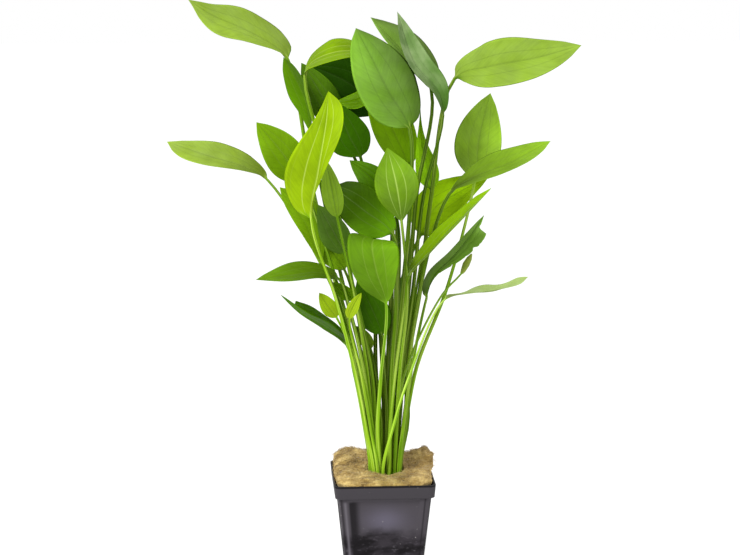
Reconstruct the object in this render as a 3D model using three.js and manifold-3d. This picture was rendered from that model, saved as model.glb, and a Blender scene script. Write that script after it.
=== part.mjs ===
// A potted echinodorus argentinensis, in millimetres, +Z up.
// The origin is the middle of the pot's underside, and the photographed front faces -Y.

import * as THREE from 'three';
import { mergeVertices } from 'three/addons/utils/BufferGeometryUtils.js';
import Module from 'manifold-3d';

const wasm = await Module();
wasm.setup();

// Pot: the usual square nursery pot with a 90 mm rim
const RIM_WIDTH = 90;
const POT_HEIGHT = 95;
const BASE_WIDTH = 66;
const WALL = 1.6;
const FLOOR = 2.4;
const COLLAR_HEIGHT = 12;
const COLLAR_STEP = 2.2;
const CORNER_RADIUS = 7;
const FOOT_CHAMFER = 1.5;
const RIM_CHAMFER = 0.5;
const RIM_DRAFT = 0.9;
const PANEL_DEPTH = 0.9;
const PANEL_MARGIN = 9;
const PANEL_BEVEL = 1.2;
const PANEL_LOWEST = 5;
const PANEL_BELOW_COLLAR = 4;
const HOLE_RADIUS = 3.5;
const HOLE_SIDES = 6;
const HOLE_MARGIN = 10;

// Rock wool
const GAP = 0.3;
const WOOL_TOP = 102.8;
const WOOL_EDGE_DROP = 5;
const WOOL_WIDTH = 88.4;
const WOOL_SLOPE = 0.09;
const WOOL_SQUARENESS = 8;
const FLAP = { place: [44, 22], reach: 13, height: 7 };
const HOLLOW = { place: [30, 4], reach: 11, height: -5 };
const SHOULDER = { place: [-34, 36], reach: 18, height: 4 };
const WOOL_BUMPS = [FLAP, HOLLOW, SHOULDER];
const OVERHANG = { place: FLAP.place, reach: 20, width: 4 };
const WOOL_SIDES = 24;
const WELL_CENTRE = [2, -8];
const WELL_TOP = [17.5, 17.5];
const WELL_BOTTOM = [16.5, 16.8];
const WELL_FLOOR = 68;
const WELL_LIP = 1.2;

// Rootstock, which carries the feet of the stalks
const ROOTSTOCK_TOP = 79;
const ROOTSTOCK_SIZE = [15.6, 16];
const ROOTSTOCK_SIDES = 18;

// Stalks
const FOOT_HEIGHT = ROOTSTOCK_TOP + GAP;
const STALK_LEVELS = [FOOT_HEIGHT, 104, 140, 190, 260, 345];
const STALK_GAP = 0.5;
const LEVEL_CLEARANCE = 14;
const BUNDLE = [13.2, 13.8];
const FOOT_SPREAD = 0.8;
const STALK_RADIUS_LOW = 1.8;
const STALK_RADIUS_NECK = 1.25;
const SETTLING_ROUNDS = 160;
const SETTLING_STEP = 6;
const SETTLING_TOP = 420;

// Blades
const BLADE_STATIONS = [0, 0.05, 0.14, 0.27, 0.42, 0.58, 0.74, 0.89];
const SPINE_STEPS = 96;
const RIB_THICKNESS = 1.5;
const BLADE_THICKNESS = 0.8;
const SHARE_UNDER_SPINE = 0.6;
const NECK_LENGTH = 0.05;
const RIPPLE_TURNS = 9;
const RIPPLE_OFFSET = 2.4;

const plastic = () => new THREE.MeshStandardMaterial({ color: 0x2b2a2e, roughness: 0.3, metalness: 0 });
const wool = () => new THREE.MeshStandardMaterial({ color: 0xb79a5e, roughness: 0.95, metalness: 0 });
const root = () => new THREE.MeshStandardMaterial({ color: 0x8a7a45, roughness: 0.8, metalness: 0 });
const GREENS = {
  lime: 0x9cc21e,
  fresh: 0x7fb02a,
  mid: 0x5f9a22,
  grey: 0x6f9a58,
  olive: 0x55830f,
  deep: 0x2f6410,
  darkest: 0x1e4a0c,
};
const green = (tone) => {
  return new THREE.MeshStandardMaterial({ color: GREENS[tone], roughness: 0.45, metalness: 0 });
};

const object = new THREE.Group();

function add(name, geometry, material) {
  const mesh = new THREE.Mesh(geometry, material);
  mesh.name = name;
  object.add(mesh);
}

// A closed body from rings of equally many points, each ring clockwise as seen along the way of the loft.
// Each end is closed by a fan to its own point, or to the middle of its ring.
// The back half of a ring is cut along the other diagonal, so that a thin blade's two sides never cross.
function loft(rings, endPoint) {
  const size = rings[0].length;
  const middle = (ring) => {
    return ring.reduce((sum, point) => sum.add(point), new THREE.Vector3()).divideScalar(size);
  };
  const vertices = rings.flat();
  const start = vertices.push(middle(rings[0])) - 1;
  const end = vertices.push(endPoint ?? middle(rings[rings.length - 1])) - 1;
  const triangles = [];
  for (let i = 0; i < size; i += 1) {
    const j = (i + 1) % size;
    const last = (rings.length - 1) * size;
    triangles.push(start, j, i, end, last + i, last + j);
    for (let k = 0; k + 1 < rings.length; k += 1) {
      const [a, b] = [k * size, (k + 1) * size];
      if (i < size / 2) {
        triangles.push(a + i, a + j, b + j, a + i, b + j, b + i);
      } else {
        triangles.push(a + i, a + j, b + i, a + j, b + j, b + i);
      }
    }
  }
  const geometry = new THREE.BufferGeometry().setFromPoints(vertices);
  geometry.setIndex(triangles);
  return geometry;
}

function toSolid(geometry) {
  const plain = geometry.clone();
  plain.deleteAttribute('normal');
  plain.deleteAttribute('uv');
  const merged = mergeVertices(plain, 1e-4);
  return new wasm.Manifold(new wasm.Mesh({
    numProp: 3,
    vertProperties: new Float32Array(merged.attributes.position.array),
    triVerts: new Uint32Array(merged.index.array),
  }));
}

function toGeometry(solid) {
  const mesh = solid.getMesh();
  const geometry = new THREE.BufferGeometry();
  geometry.setAttribute('position', new THREE.BufferAttribute(new Float32Array(mesh.vertProperties), 3));
  geometry.setIndex([...mesh.triVerts]);
  return geometry;
}

// One corner-to-corner side of a pot ring, as [along, outward] from the middle of the side.
// The panel between the corner posts lies inset by the panel depth.
function sideOutline(half, inset) {
  const flat = half - CORNER_RADIUS;
  const post = half - PANEL_MARGIN;
  const corner = CORNER_RADIUS * (1 - Math.SQRT1_2);
  return [
    [-half + corner, half - corner],
    [-flat, half],
    [-post, half],
    [-post + PANEL_BEVEL, half - inset],
    [post - PANEL_BEVEL, half - inset],
    [post, half],
    [flat, half],
  ];
}

// A level ring of a pot wall. Seen from above it runs anticlockwise.
function potRing(half, z, inset = 0) {
  const points = [];
  for (let side = 0; side < 4; side += 1) {
    const turn = side * Math.PI / 2;
    for (const [along, outward] of sideOutline(half, inset)) {
      points.push(new THREE.Vector3(-along, outward, z).applyAxisAngle(new THREE.Vector3(0, 0, 1), turn));
    }
  }
  return points;
}

// Half the pot's outer width at a height, below the collar
function bodyHalf(z) {
  const top = RIM_WIDTH / 2 - COLLAR_STEP;
  return BASE_WIDTH / 2 + (top - BASE_WIDTH / 2) * z / POT_HEIGHT;
}

function makePot() {
  const rim = RIM_WIDTH / 2;
  const collarBottom = POT_HEIGHT - COLLAR_HEIGHT;
  const panelTop = collarBottom - PANEL_BELOW_COLLAR;
  const panelBottom = PANEL_LOWEST + 2 * PANEL_DEPTH;
  // From the middle of the underside out, up the outside, over the rim and down the inside
  const outside = [
    potRing(bodyHalf(0) - FOOT_CHAMFER, 0),
    potRing(bodyHalf(0), FOOT_CHAMFER),
    potRing(bodyHalf(PANEL_LOWEST), PANEL_LOWEST),
    potRing(bodyHalf(panelBottom), panelBottom, PANEL_DEPTH),
    potRing(bodyHalf(panelTop), panelTop, PANEL_DEPTH),
    potRing(bodyHalf(panelTop + 2 * PANEL_DEPTH), panelTop + 2 * PANEL_DEPTH),
    potRing(bodyHalf(collarBottom), collarBottom),
    potRing(rim - RIM_DRAFT, collarBottom),
    potRing(rim, POT_HEIGHT - 2 * RIM_CHAMFER),
    potRing(rim - RIM_CHAMFER, POT_HEIGHT),
    potRing(rim - WALL, POT_HEIGHT),
  ];
  const inside = [
    potRing(bodyHalf(collarBottom + WALL) - WALL, collarBottom + WALL),
    potRing(bodyHalf(panelTop) - WALL, panelTop, PANEL_DEPTH),
    potRing(bodyHalf(panelBottom) - WALL, panelBottom, PANEL_DEPTH),
    potRing(bodyHalf(FLOOR) - WALL, FLOOR),
  ];
  let pot = toSolid(loft([...outside, ...inside]));
  const cutter = new THREE.CylinderGeometry(HOLE_RADIUS, HOLE_RADIUS, 4 * FLOOR, HOLE_SIDES);
  cutter.rotateX(Math.PI / 2);
  const reach = BASE_WIDTH / 2 - HOLE_MARGIN;
  for (const x of [-reach, 0, reach]) {
    for (const y of [-reach, 0, reach]) {
      if (x !== 0 || y !== 0) {
        pot = pot.subtract(toSolid(cutter.clone().translate(x, y, FLOOR / 2)));
      }
    }
  }
  return toGeometry(pot);
}

// How far a point is from the middle of a rounded square, where 1 is its edge
function squareness(x, y) {
  const half = WOOL_WIDTH / 2;
  const power = WOOL_SQUARENESS;
  return Math.pow(Math.pow(Math.abs(x) / half, power) + Math.pow(Math.abs(y) / half, power), 1 / power);
}

// 1 at a bump's place, and falling off to nothing over its reach
const bump = (x, y, { place, reach }) => Math.exp(-((x - place[0]) ** 2 + (y - place[1]) ** 2) / reach ** 2);

// The height of the wool's top: it slopes up to the back, has its bumps and shallow tufts all over,
// and falls off at the edge
function woolHeight(x, y) {
  const slope = WOOL_SLOPE * y;
  const bumps = WOOL_BUMPS.reduce((sum, one) => sum + one.height * bump(x, y, one), 0);
  const tufts = 0.7 * Math.sin(0.42 * x + 1) * Math.sin(0.37 * y) + 0.4 * Math.sin(0.9 * x - 0.7 * y);
  const edge = WOOL_EDGE_DROP * Math.pow(Math.min(squareness(x, y), 1), 9);
  return WOOL_TOP + slope + bumps + tufts - edge;
}

// Directions around the wool, the same for each of its rings, clockwise from above
function around(make) {
  return Array.from({ length: WOOL_SIDES }, (unused, i) => {
    const turn = -2 * Math.PI * (i + 0.5) / WOOL_SIDES;
    return make(Math.cos(turn), Math.sin(turn));
  });
}

function makeWool() {
  const edgePoint = (c, s, half) => {
    const scale = half / (WOOL_WIDTH / 2) / squareness(c, s);
    return [c * scale, s * scale];
  };
  const levelRing = (half, z) => around((c, s) => new THREE.Vector3(...edgePoint(c, s, half), z));
  const wellRing = ([a, b], height) => around((c, s) => {
    const x = WELL_CENTRE[0] + a * c;
    const y = WELL_CENTRE[1] + b * s;
    return new THREE.Vector3(x, y, height(x, y));
  });
  // Where the edge stands clear of the rim, it bulges out over it, most of all at the flap.
  // Elsewhere it stays inside the wall.
  const insideRim = RIM_WIDTH / 2 - WALL - 0.7;
  const edgeHeight = (c, s) => Math.max(woolHeight(...edgePoint(c, s, WOOL_WIDTH / 2)), POT_HEIGHT + GAP);
  const edgeRing = () => around((c, s) => {
    const height = edgeHeight(c, s);
    const bulge = THREE.MathUtils.smoothstep(height, POT_HEIGHT + 0.8, POT_HEIGHT + 2.5);
    const [x, y] = edgePoint(c, s, THREE.MathUtils.lerp(insideRim, WOOL_WIDTH / 2, bulge));
    return new THREE.Vector3(x + OVERHANG.width * bump(x, y, OVERHANG), y, height);
  });
  const underEdge = () => around((c, s) => {
    const height = Math.min(edgeHeight(c, s) - 0.4, POT_HEIGHT + 0.8);
    return new THREE.Vector3(...edgePoint(c, s, insideRim), height);
  });
  const topRing = (share) => around((c, s) => {
    const inner = [WELL_CENTRE[0] + WELL_TOP[0] * c, WELL_CENTRE[1] + WELL_TOP[1] * s];
    const outer = edgePoint(c, s, insideRim);
    const x = THREE.MathUtils.lerp(inner[0], outer[0], share);
    const y = THREE.MathUtils.lerp(inner[1], outer[1], share);
    return new THREE.Vector3(x, y, Math.max(woolHeight(x, y), POT_HEIGHT + GAP));
  });
  const inPot = (z) => bodyHalf(z) - WALL - PANEL_DEPTH - GAP;
  // From the bottom of the well up its wall, out over the top, down the sides and under the block
  return loft([
    wellRing(WELL_BOTTOM, () => WELL_FLOOR),
    wellRing(WELL_TOP, (x, y) => woolHeight(x, y) - WELL_LIP),
    wellRing([WELL_TOP[0] + WELL_LIP, WELL_TOP[1] + WELL_LIP], woolHeight),
    topRing(0.25),
    topRing(0.5),
    topRing(0.75),
    topRing(0.93),
    edgeRing(),
    underEdge(),
    levelRing(insideRim, POT_HEIGHT - 0.8),
    levelRing(inPot(POT_HEIGHT - COLLAR_HEIGHT), POT_HEIGHT - COLLAR_HEIGHT - 1),
    levelRing(inPot(FLOOR + 4), FLOOR + 4),
    levelRing(inPot(FLOOR) - 3, FLOOR + GAP),
  ]);
}

function makeRootstock() {
  const bottom = WELL_FLOOR + GAP;
  const ring = (share, z) => Array.from({ length: ROOTSTOCK_SIDES }, (unused, i) => {
    const turn = 2 * Math.PI * i / ROOTSTOCK_SIDES;
    return new THREE.Vector3(
      WELL_CENTRE[0] + ROOTSTOCK_SIZE[0] * share * Math.cos(turn),
      WELL_CENTRE[1] + ROOTSTOCK_SIZE[1] * share * Math.sin(turn),
      z,
    );
  });
  const height = ROOTSTOCK_TOP - bottom;
  return loft([
    ring(0.78, bottom),
    ring(0.95, bottom + 0.3 * height),
    ring(1, bottom + 0.8 * height),
    ring(0.97, ROOTSTOCK_TOP),
  ]);
}

// The leaves. stalk: points from the foot up, blade: points along the midrib from the neck to the tip.
// face: where the upper side looks, halfway along. fold: how far each half is tilted up, in degrees.
// twist: the turn from neck to tip, in degrees. wave: ripple of the margin, as a share of the half width.
// widest: where along the blade it is widest. lean: how much nearer the tip that is on the right half.
// full: below 1 the outline is rounder, above 1 more pointed. stout: how thick the stalk is for its blade.
const LEAVES = {
  leaf_top_left: {
    tone: 'fresh', width: 46, face: [0.4, -0.62, 0.68], fold: 8, widest: 0.48, lean: -0.16, wave: 0.08,
    stalk: [[-14, 7, 151], [-32, 18, 232], [-54, 35, 320], [-71, 46, 404]],
    blade: [[-81, 49, 462], [-92, 46, 474], [-121, 37, 491], [-147, 29, 503], [-168, 22, 517]],
  },
  leaf_under_top_left: {
    tone: 'mid', width: 30, face: [-0.75, -0.45, 0.1], fold: 14, widest: 0.58,
    stalk: [[-10, 9, 160], [-24, 16, 223], [-41, 23, 295], [-56, 25, 367]],
    blade: [[-61, 30, 397], [-67, 35, 430], [-85, 47, 465]],
  },
  leaf_arching_left: {
    tone: 'lime', width: 40, face: [-0.2, -0.38, 0.9], fold: 6,
    stalk: [[-7, 10, 160], [-17, 17, 214], [-34, 26, 312], [-54, 25, 402]],
    blade: [[-67, 18, 450], [-62, 13, 462], [-45, 6, 471], [-26, 8, 473], [-6, 16, 467], [11, 33, 454]],
  },
  leaf_tallest: {
    tone: 'fresh', width: 54, face: [0.25, -1, 0.2], fold: 6,
    stalk: [[9, 1, 162], [17, -5, 254], [23, -11, 335], [25, -18, 380]],
    blade: [[22, -21, 408], [4, -24, 440], [-12, -15, 472], [-23, 3, 493]],
  },
  leaf_top_folded: {
    tone: 'mid', width: 44, face: [0.8, -0.7, 0.2], fold: 20,
    stalk: [[13, 5, 161], [23, 7, 252], [31, 6, 351], [39, 6, 412]],
    blade: [[43, 5, 439], [21, 13, 470], [-9, 25, 501]],
  },
  leaf_top_grey: {
    tone: 'grey', width: 34, face: [0.85, -0.7, 0.3], fold: 16, widest: 0.45,
    stalk: [[14, 1, 162], [26, -2, 253], [38, -4, 361], [47, -7, 396]],
    blade: [[52, -9, 418], [47, -12, 440], [27, -10, 464], [13, 5, 507]],
  },
  leaf_right_high: {
    tone: 'fresh', width: 46, face: [-0.15, -0.85, 0.55], fold: 6,
    stalk: [[19, 7, 160], [33, 8, 260], [47, 3, 373], [51, 1, 400], [55, -1, 422]],
    blade: [[63, 0, 449], [93, -6, 460], [133, -4, 467], [175, 7, 477]],
  },
  leaf_right_upright: {
    tone: 'mid', width: 42, face: [-0.1, -1, 0.2], fold: 8,
    stalk: [[18, 9, 139], [31, 14, 186], [48, 19, 231], [70, 28, 284], [84, 35, 326]],
    blade: [[86, 39, 355], [89, 39, 391], [100, 46, 432]],
  },
  leaf_front_bright: {
    tone: 'lime', width: 56, face: [-0.62, -0.78, 0.1], fold: 30, widest: 0.5, lean: 0.2, twist: 30,
    full: 1.2,
    stalk: [[-15, -14, 138], [-24, -21, 186], [-36, -32, 235], [-51, -43, 293]],
    blade: [[-64, -48, 333], [-58, -57, 376], [-51, -55, 420], [-49, -45, 443]],
  },
  leaf_right_pointing: {
    tone: 'mid', width: 38, face: [-0.15, -0.38, 0.9], fold: 10, widest: 0.55,
    stalk: [[22, 3, 170], [31, 2, 248], [40, 0, 291], [52, -3, 325]],
    blade: [[58, -6, 348], [78, -13, 364], [111, -13, 377], [148, -1, 394]],
  },
  leaf_right_broad: {
    tone: 'olive', width: 38, face: [0, -1, 0.2], fold: 4, widest: 0.3, lean: -0.06,
    stalk: [[17, 13, 159], [21, 25, 230], [20, 37, 273]],
    blade: [[37, 42, 304], [50, 45, 328], [72, 48, 342], [101, 58, 355]],
  },
  leaf_right_narrow: {
    tone: 'lime', width: 36, face: [-0.8, -0.05, 0.6], fold: 16, widest: 0.32, full: 0.6, stout: 1.25,
    stalk: [[6, -15, 138], [10, -25, 193], [16, -35, 247]],
    blade: [[20, -41, 282], [39, -48, 306], [66, -48, 334], [92, -36, 358]],
  },
  leaf_centre_veined: {
    tone: 'fresh', width: 38, face: [0.05, -1, 0.2], fold: 6, widest: 0.5, full: 1.1,
    stalk: [[13, -9, 164], [18, -17, 230], [21, -31, 295]],
    blade: [[14, -39, 329], [9, -47, 362], [2, -32, 393]],
  },
  leaf_behind_tallest: {
    tone: 'olive', width: 38, face: [0.3, -1, 0], fold: 8,
    stalk: [[11, 11, 159], [19, 17, 222], [26, 24, 303]],
    blade: [[25, 26, 368], [9, 30, 407], [-10, 39, 454]],
  },
  leaf_twisted: {
    tone: 'mid', width: 21, face: [-0.3, -1, 0], fold: 16, widest: 0.22, full: 2.1,
    stalk: [[17, 3, 161], [31, 8, 251], [39, 14, 323]],
    blade: [[44, 15, 349], [41, 16, 369], [36, 18, 393], [35, 26, 425]],
  },
  leaf_left_middle: {
    tone: 'mid', width: 34, face: [-0.2, -1, 0.3], fold: 8,
    stalk: [[-15, -3, 163], [-32, -2, 236], [-53, -3, 317]],
    blade: [[-72, -18, 362], [-88, -23, 388], [-110, -17, 414]],
  },
  leaf_far_left: {
    tone: 'fresh', width: 34, face: [-0.2, -0.5, 0.85], fold: 8, widest: 0.54, lean: -0.1,
    stalk: [[-16, 3, 157], [-32, 6, 225], [-53, 7, 287], [-82, 11, 330]],
    blade: [[-100, 14, 359], [-119, 12, 371], [-153, 15, 382], [-189, 32, 392]],
  },
  leaf_left_hidden: {
    tone: 'mid', width: 26, face: [-0.2, -1, 0.2], fold: 8, widest: 0.55,
    stalk: [[-15, -3, 154], [-27, 1, 208], [-41, 4, 260]],
    blade: [[-53, 4, 287], [-64, 1, 327], [-90, 7, 354]],
  },
  leaf_left_low: {
    tone: 'mid', width: 34, face: [0, -0.33, 0.94], fold: 8, stout: 1.15,
    stalk: [[-12, -7, 155], [-21, -13, 211], [-30, -16, 252]],
    blade: [[-39, -20, 276], [-59, -23, 283], [-84, -31, 282], [-112, -39, 280]],
  },
  leaf_left_folded: {
    tone: 'mid', width: 36, face: [0.1, -0.2, 0.97], fold: 26, widest: 0.35, stout: 1.3,
    stalk: [[-15, -7, 138], [-22, -9, 176]],
    blade: [[-32, -8, 215], [-54, -15, 233], [-74, -25, 248], [-91, -34, 266]],
  },
  leaf_small_upright: {
    tone: 'lime', width: 14, face: [0, -1, 0], fold: 10,
    stalk: [[-11, -13, 155], [-28, -25, 215]],
    blade: [[-42, -30, 244], [-50, -31, 256], [-57, -28, 266]],
  },
  leaf_spoon: {
    tone: 'lime', width: 10, face: [0.1, -1, 0.3], fold: 14,
    stalk: [[-12, -15, 148], [-22, -25, 200]],
    blade: [[-31, -36, 244], [-27, -42, 258], [-21, -45, 269]],
  },
  leaf_small_dark: {
    tone: 'deep', width: 12, face: [-0.3, -1, 0.3], fold: 10,
    stalk: [[-7, -1, 153], [-17, -6, 209]],
    blade: [[-27, -10, 255], [-35, -13, 264], [-44, -11, 272]],
  },
  leaf_dark_centre: {
    tone: 'deep', width: 29, face: [0, -1, 0.1], fold: 8,
    stalk: [[4, 2, 162]],
    blade: [[0, 2, 221], [-10, 1, 247], [-22, 7, 271]],
  },
  leaf_dark_low: {
    tone: 'deep', width: 12, face: [-0.2, -1, 0.2], fold: 8,
    stalk: [[-2, -2, 163]],
    blade: [[-10, 4, 208], [-16, 4, 219], [-24, 7, 229]],
  },
  leaf_centre_front: {
    tone: 'mid', width: 44, face: [0.15, -1, 0.2], fold: 6, widest: 0.48, full: 1, stout: 1.2,
    stalk: [[-6, -15, 115], [-4, -24, 168], [-2, -38, 221]],
    blade: [[0, -50, 259], [-9, -60, 290], [-13, -61, 311], [-10, -41, 315], [-7, -16, 305]],
  },
  leaf_dark_upper: {
    tone: 'deep', width: 38, face: [-0.2, -1, -0.1], fold: 8,
    stalk: [[2, 8, 160], [-3, 14, 251], [-11, 21, 340]],
    blade: [[-18, 23, 378], [-28, 20, 397], [-40, 20, 427]],
  },
  leaf_dark_middle: {
    tone: 'deep', width: 27, face: [-0.2, -1, 0.2], fold: 6,
    stalk: [[8, 6, 161], [15, 7, 243]],
    blade: [[12, 5, 330], [-7, 4, 359], [-28, 18, 376]],
  },
  leaf_mottled: {
    tone: 'deep', width: 36, face: [0, -1, 0.3], fold: 6, stout: 1.2,
    stalk: [[8, -7, 182], [12, -13, 247]],
    blade: [[8, -17, 315], [-17, -17, 337], [-44, -3, 358]],
  },
  leaf_pale_narrow: {
    tone: 'grey', width: 18, face: [-0.2, -1, 0.2], fold: 10,
    stalk: [[-11, -5, 164], [-26, -18, 263]],
    blade: [[-41, -28, 332], [-46, -33, 357], [-51, -31, 383]],
  },
  leaf_shaded_left: {
    tone: 'grey', width: 26, face: [-0.2, -1, 0.1], fold: 8,
    stalk: [[-9, -3, 181], [-24, -9, 259]],
    blade: [[-34, -12, 297], [-44, -15, 318], [-57, -11, 341]],
  },
  leaf_darkest: {
    tone: 'darkest', width: 24, face: [-0.2, -1, 0.1], fold: 8,
    stalk: [[-7, 6, 179], [-21, 9, 243]],
    blade: [[-33, 8, 279], [-48, 9, 301], [-63, 18, 321]],
  },
  leaf_right_twisted: {
    tone: 'deep', width: 24, face: [0.5, -0.75, 0.3], fold: 38, widest: 0.55, lean: 0.2,
    stalk: [[19, -5, 145], [26, -10, 196], [33, -12, 237]],
    blade: [[38, -14, 257], [44, -19, 278], [61, -20, 296], [75, -15, 312], [90, -1, 329]],
  },
  leaf_right_low: {
    tone: 'fresh', width: 27, face: [-0.2, 0.02, 1], fold: 6, wave: 0.16, stout: 1.3,
    stalk: [[0, -19, 116], [10, -27, 149], [19, -35, 185], [28, -42, 211], [40, -51, 240]],
    blade: [[50, -59, 265], [69, -66, 272], [92, -72, 275], [120, -71, 286]],
  },
  leaf_under_arch: {
    tone: 'darkest', width: 54, face: [0.1, -1, -0.2], fold: 8,
    stalk: [[6, 14, 186], [11, 33, 292], [9, 56, 380]],
    blade: [[2, 62, 412], [-25, 68, 439], [-59, 74, 455]],
  },
  leaf_back_left: {
    tone: 'grey', width: 30, face: [-0.2, -1, 0], fold: 8,
    stalk: [[-5, 12, 187], [-6, 28, 293], [-14, 43, 364]],
    blade: [[-38, 52, 403], [-51, 53, 430], [-69, 58, 459]],
  },
  leaf_lit_edge: {
    tone: 'lime', width: 28, face: [0, -0.6, -0.75], fold: 6,
    stalk: [[8, 10, 187], [15, 25, 294], [10, 41, 382]],
    blade: [[-1, 48, 435], [-21, 45, 428], [-41, 41, 424]],
  },
};

const USUAL_SHAPE = { widest: 0.4, full: 0.85, lean: 0, twist: 0, wave: 0.04, stout: 1 };

// A stalk's radius is largest at the foot. Small leaves have thin stalks.
function stalkRadius(leaf, height) {
  const size = leaf.stout * THREE.MathUtils.clamp(0.55 + leaf.width / 90, 0.6, 1.1);
  const rise = THREE.MathUtils.clamp((height - FOOT_HEIGHT) / (leaf.blade[0][2] - FOOT_HEIGHT), 0, 1);
  return size * THREE.MathUtils.lerp(STALK_RADIUS_LOW, STALK_RADIUS_NECK, rise);
}

const vectors = (points) => points.map((point) => new THREE.Vector3(...point));
const smooth = (points) => new THREE.CatmullRomCurve3(points, false, 'centripetal');

// Where a line of points from low to high passes a height
function crossing(points, height) {
  let k = 0;
  while (k + 2 < points.length && points[k + 1].z < height) {
    k += 1;
  }
  const share = THREE.MathUtils.clamp((height - points[k].z) / (points[k + 1].z - points[k].z), 0, 1);
  return { k, share, point: points[k].clone().lerp(points[k + 1], share) };
}

// A stalk's points at the common levels, ending at its neck
function stalkPoints(leaf) {
  const neck = new THREE.Vector3(...leaf.blade[0]);
  const first = new THREE.Vector3(...leaf.stalk[0]);
  const foot = new THREE.Vector3(
    WELL_CENTRE[0] + FOOT_SPREAD * (first.x - WELL_CENTRE[0]),
    WELL_CENTRE[1] + FOOT_SPREAD * (first.y - WELL_CENTRE[1]),
    FOOT_HEIGHT,
  );
  const way = smooth([foot, ...vectors(leaf.stalk), neck]).getPoints(120);
  const levels = STALK_LEVELS.filter((level) => level < neck.z - LEVEL_CLEARANCE);
  return [...levels.map((level) => crossing(way, level).point.setZ(level)), neck];
}

// The stalks lean on each other in the bundle. Where two lie too close, both move aside,
// and the lowest points stay inside the well of the wool. Necks stay where they are.
function settle(stalks, leaves) {
  for (let round = 0; round < SETTLING_ROUNDS; round += 1) {
    for (let height = FOOT_HEIGHT; height < SETTLING_TOP; height += SETTLING_STEP) {
      const here = stalks
        .map((points, i) => ({ points, radius: stalkRadius(leaves[i], height) }))
        .filter(({ points }) => height < points[points.length - 1].z)
        .map((place) => ({ ...place, ...crossing(place.points, height) }));
      for (let i = 0; i < here.length; i += 1) {
        for (let j = i + 1; j < here.length; j += 1) {
          part(here[i], here[j]);
        }
      }
    }
    for (const points of stalks) {
      keepInWell(points);
    }
  }
}

function part(a, b) {
  const away = new THREE.Vector3().subVectors(b.point, a.point).setZ(0);
  const distance = away.length();
  const wanted = a.radius + b.radius + STALK_GAP;
  if (distance >= wanted) {
    return;
  }
  const direction = distance > 0.01 ? away.divideScalar(distance) : new THREE.Vector3(0, 1, 0);
  const half = direction.multiplyScalar((wanted - distance) / 2);
  shift(a, half.clone().negate());
  shift(b, half);
}

// Moves the two points that a place on a stalk lies between, and that place with them
function shift({ points, k, share, point }, move) {
  const weight = (1 - share) ** 2 + share ** 2;
  const last = points.length - 1;
  points[k].addScaledVector(move, (1 - share) / weight / 2);
  if (k + 1 < last) {
    points[k + 1].addScaledVector(move, share / weight / 2);
  }
  point.addScaledVector(move, 0.5);
}

function keepInWell(points) {
  for (const point of points.slice(0, 2)) {
    const x = (point.x - WELL_CENTRE[0]) / BUNDLE[0];
    const y = (point.y - WELL_CENTRE[1]) / BUNDLE[1];
    const out = Math.hypot(x, y);
    if (out > 1) {
      point.x = WELL_CENTRE[0] + (point.x - WELL_CENTRE[0]) / out;
      point.y = WELL_CENTRE[1] + (point.y - WELL_CENTRE[1]) / out;
    }
  }
}

// The spine of a leaf's blade as evenly spaced points, with the direction at each
function bladeSpine(stalk, blade) {
  const points = [...stalk, ...vectors(blade).slice(1)];
  const curve = smooth(points);
  const start = (stalk.length - 1) / (points.length - 1);
  const fine = Array.from({ length: 401 }, (unused, i) => curve.getPoint(start + (1 - start) * i / 400));
  const lengths = [0];
  for (let i = 1; i < fine.length; i += 1) {
    lengths.push(lengths[i - 1] + fine[i].distanceTo(fine[i - 1]));
  }
  const total = lengths[lengths.length - 1];
  const spine = [];
  for (let step = 0, i = 0; step <= SPINE_STEPS; step += 1) {
    const wanted = Math.min(total * step / SPINE_STEPS, total - 1e-9);
    while (lengths[i + 1] < wanted) {
      i += 1;
    }
    const share = (wanted - lengths[i]) / (lengths[i + 1] - lengths[i]);
    spine.push(fine[i].clone().lerp(fine[i + 1], share));
  }
  const tangents = spine.map((unused, i) => new THREE.Vector3()
    .subVectors(spine[Math.min(i + 1, SPINE_STEPS)], spine[Math.max(i - 1, 0)]).normalize());
  return { curve, start, spine, tangents };
}

// A direction made square to a tangent
function squareTo(direction, tangent) {
  return direction.clone().addScaledVector(tangent, -direction.dot(tangent)).normalize();
}

// Which way the upper side looks at each point of the spine. It is given halfway and follows the bends.
function bladeNormals(tangents, face) {
  const middle = SPINE_STEPS / 2;
  const normals = [];
  normals[middle] = squareTo(new THREE.Vector3(...face), tangents[middle]);
  for (let i = middle + 1; i <= SPINE_STEPS; i += 1) {
    normals[i] = squareTo(normals[i - 1], tangents[i]);
  }
  for (let i = middle - 1; i >= 0; i -= 1) {
    normals[i] = squareTo(normals[i + 1], tangents[i]);
  }
  return normals;
}

// Half the blade's width at a share of its length, on the left or right of the midrib
function halfWidth({ width, widest, full, lean }, along, side) {
  const bend = Math.log(0.5) / Math.log(widest + lean * side);
  return width / 2 * Math.pow(Math.sin(Math.PI * Math.pow(Math.min(along, 1), bend)), full);
}

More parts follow.
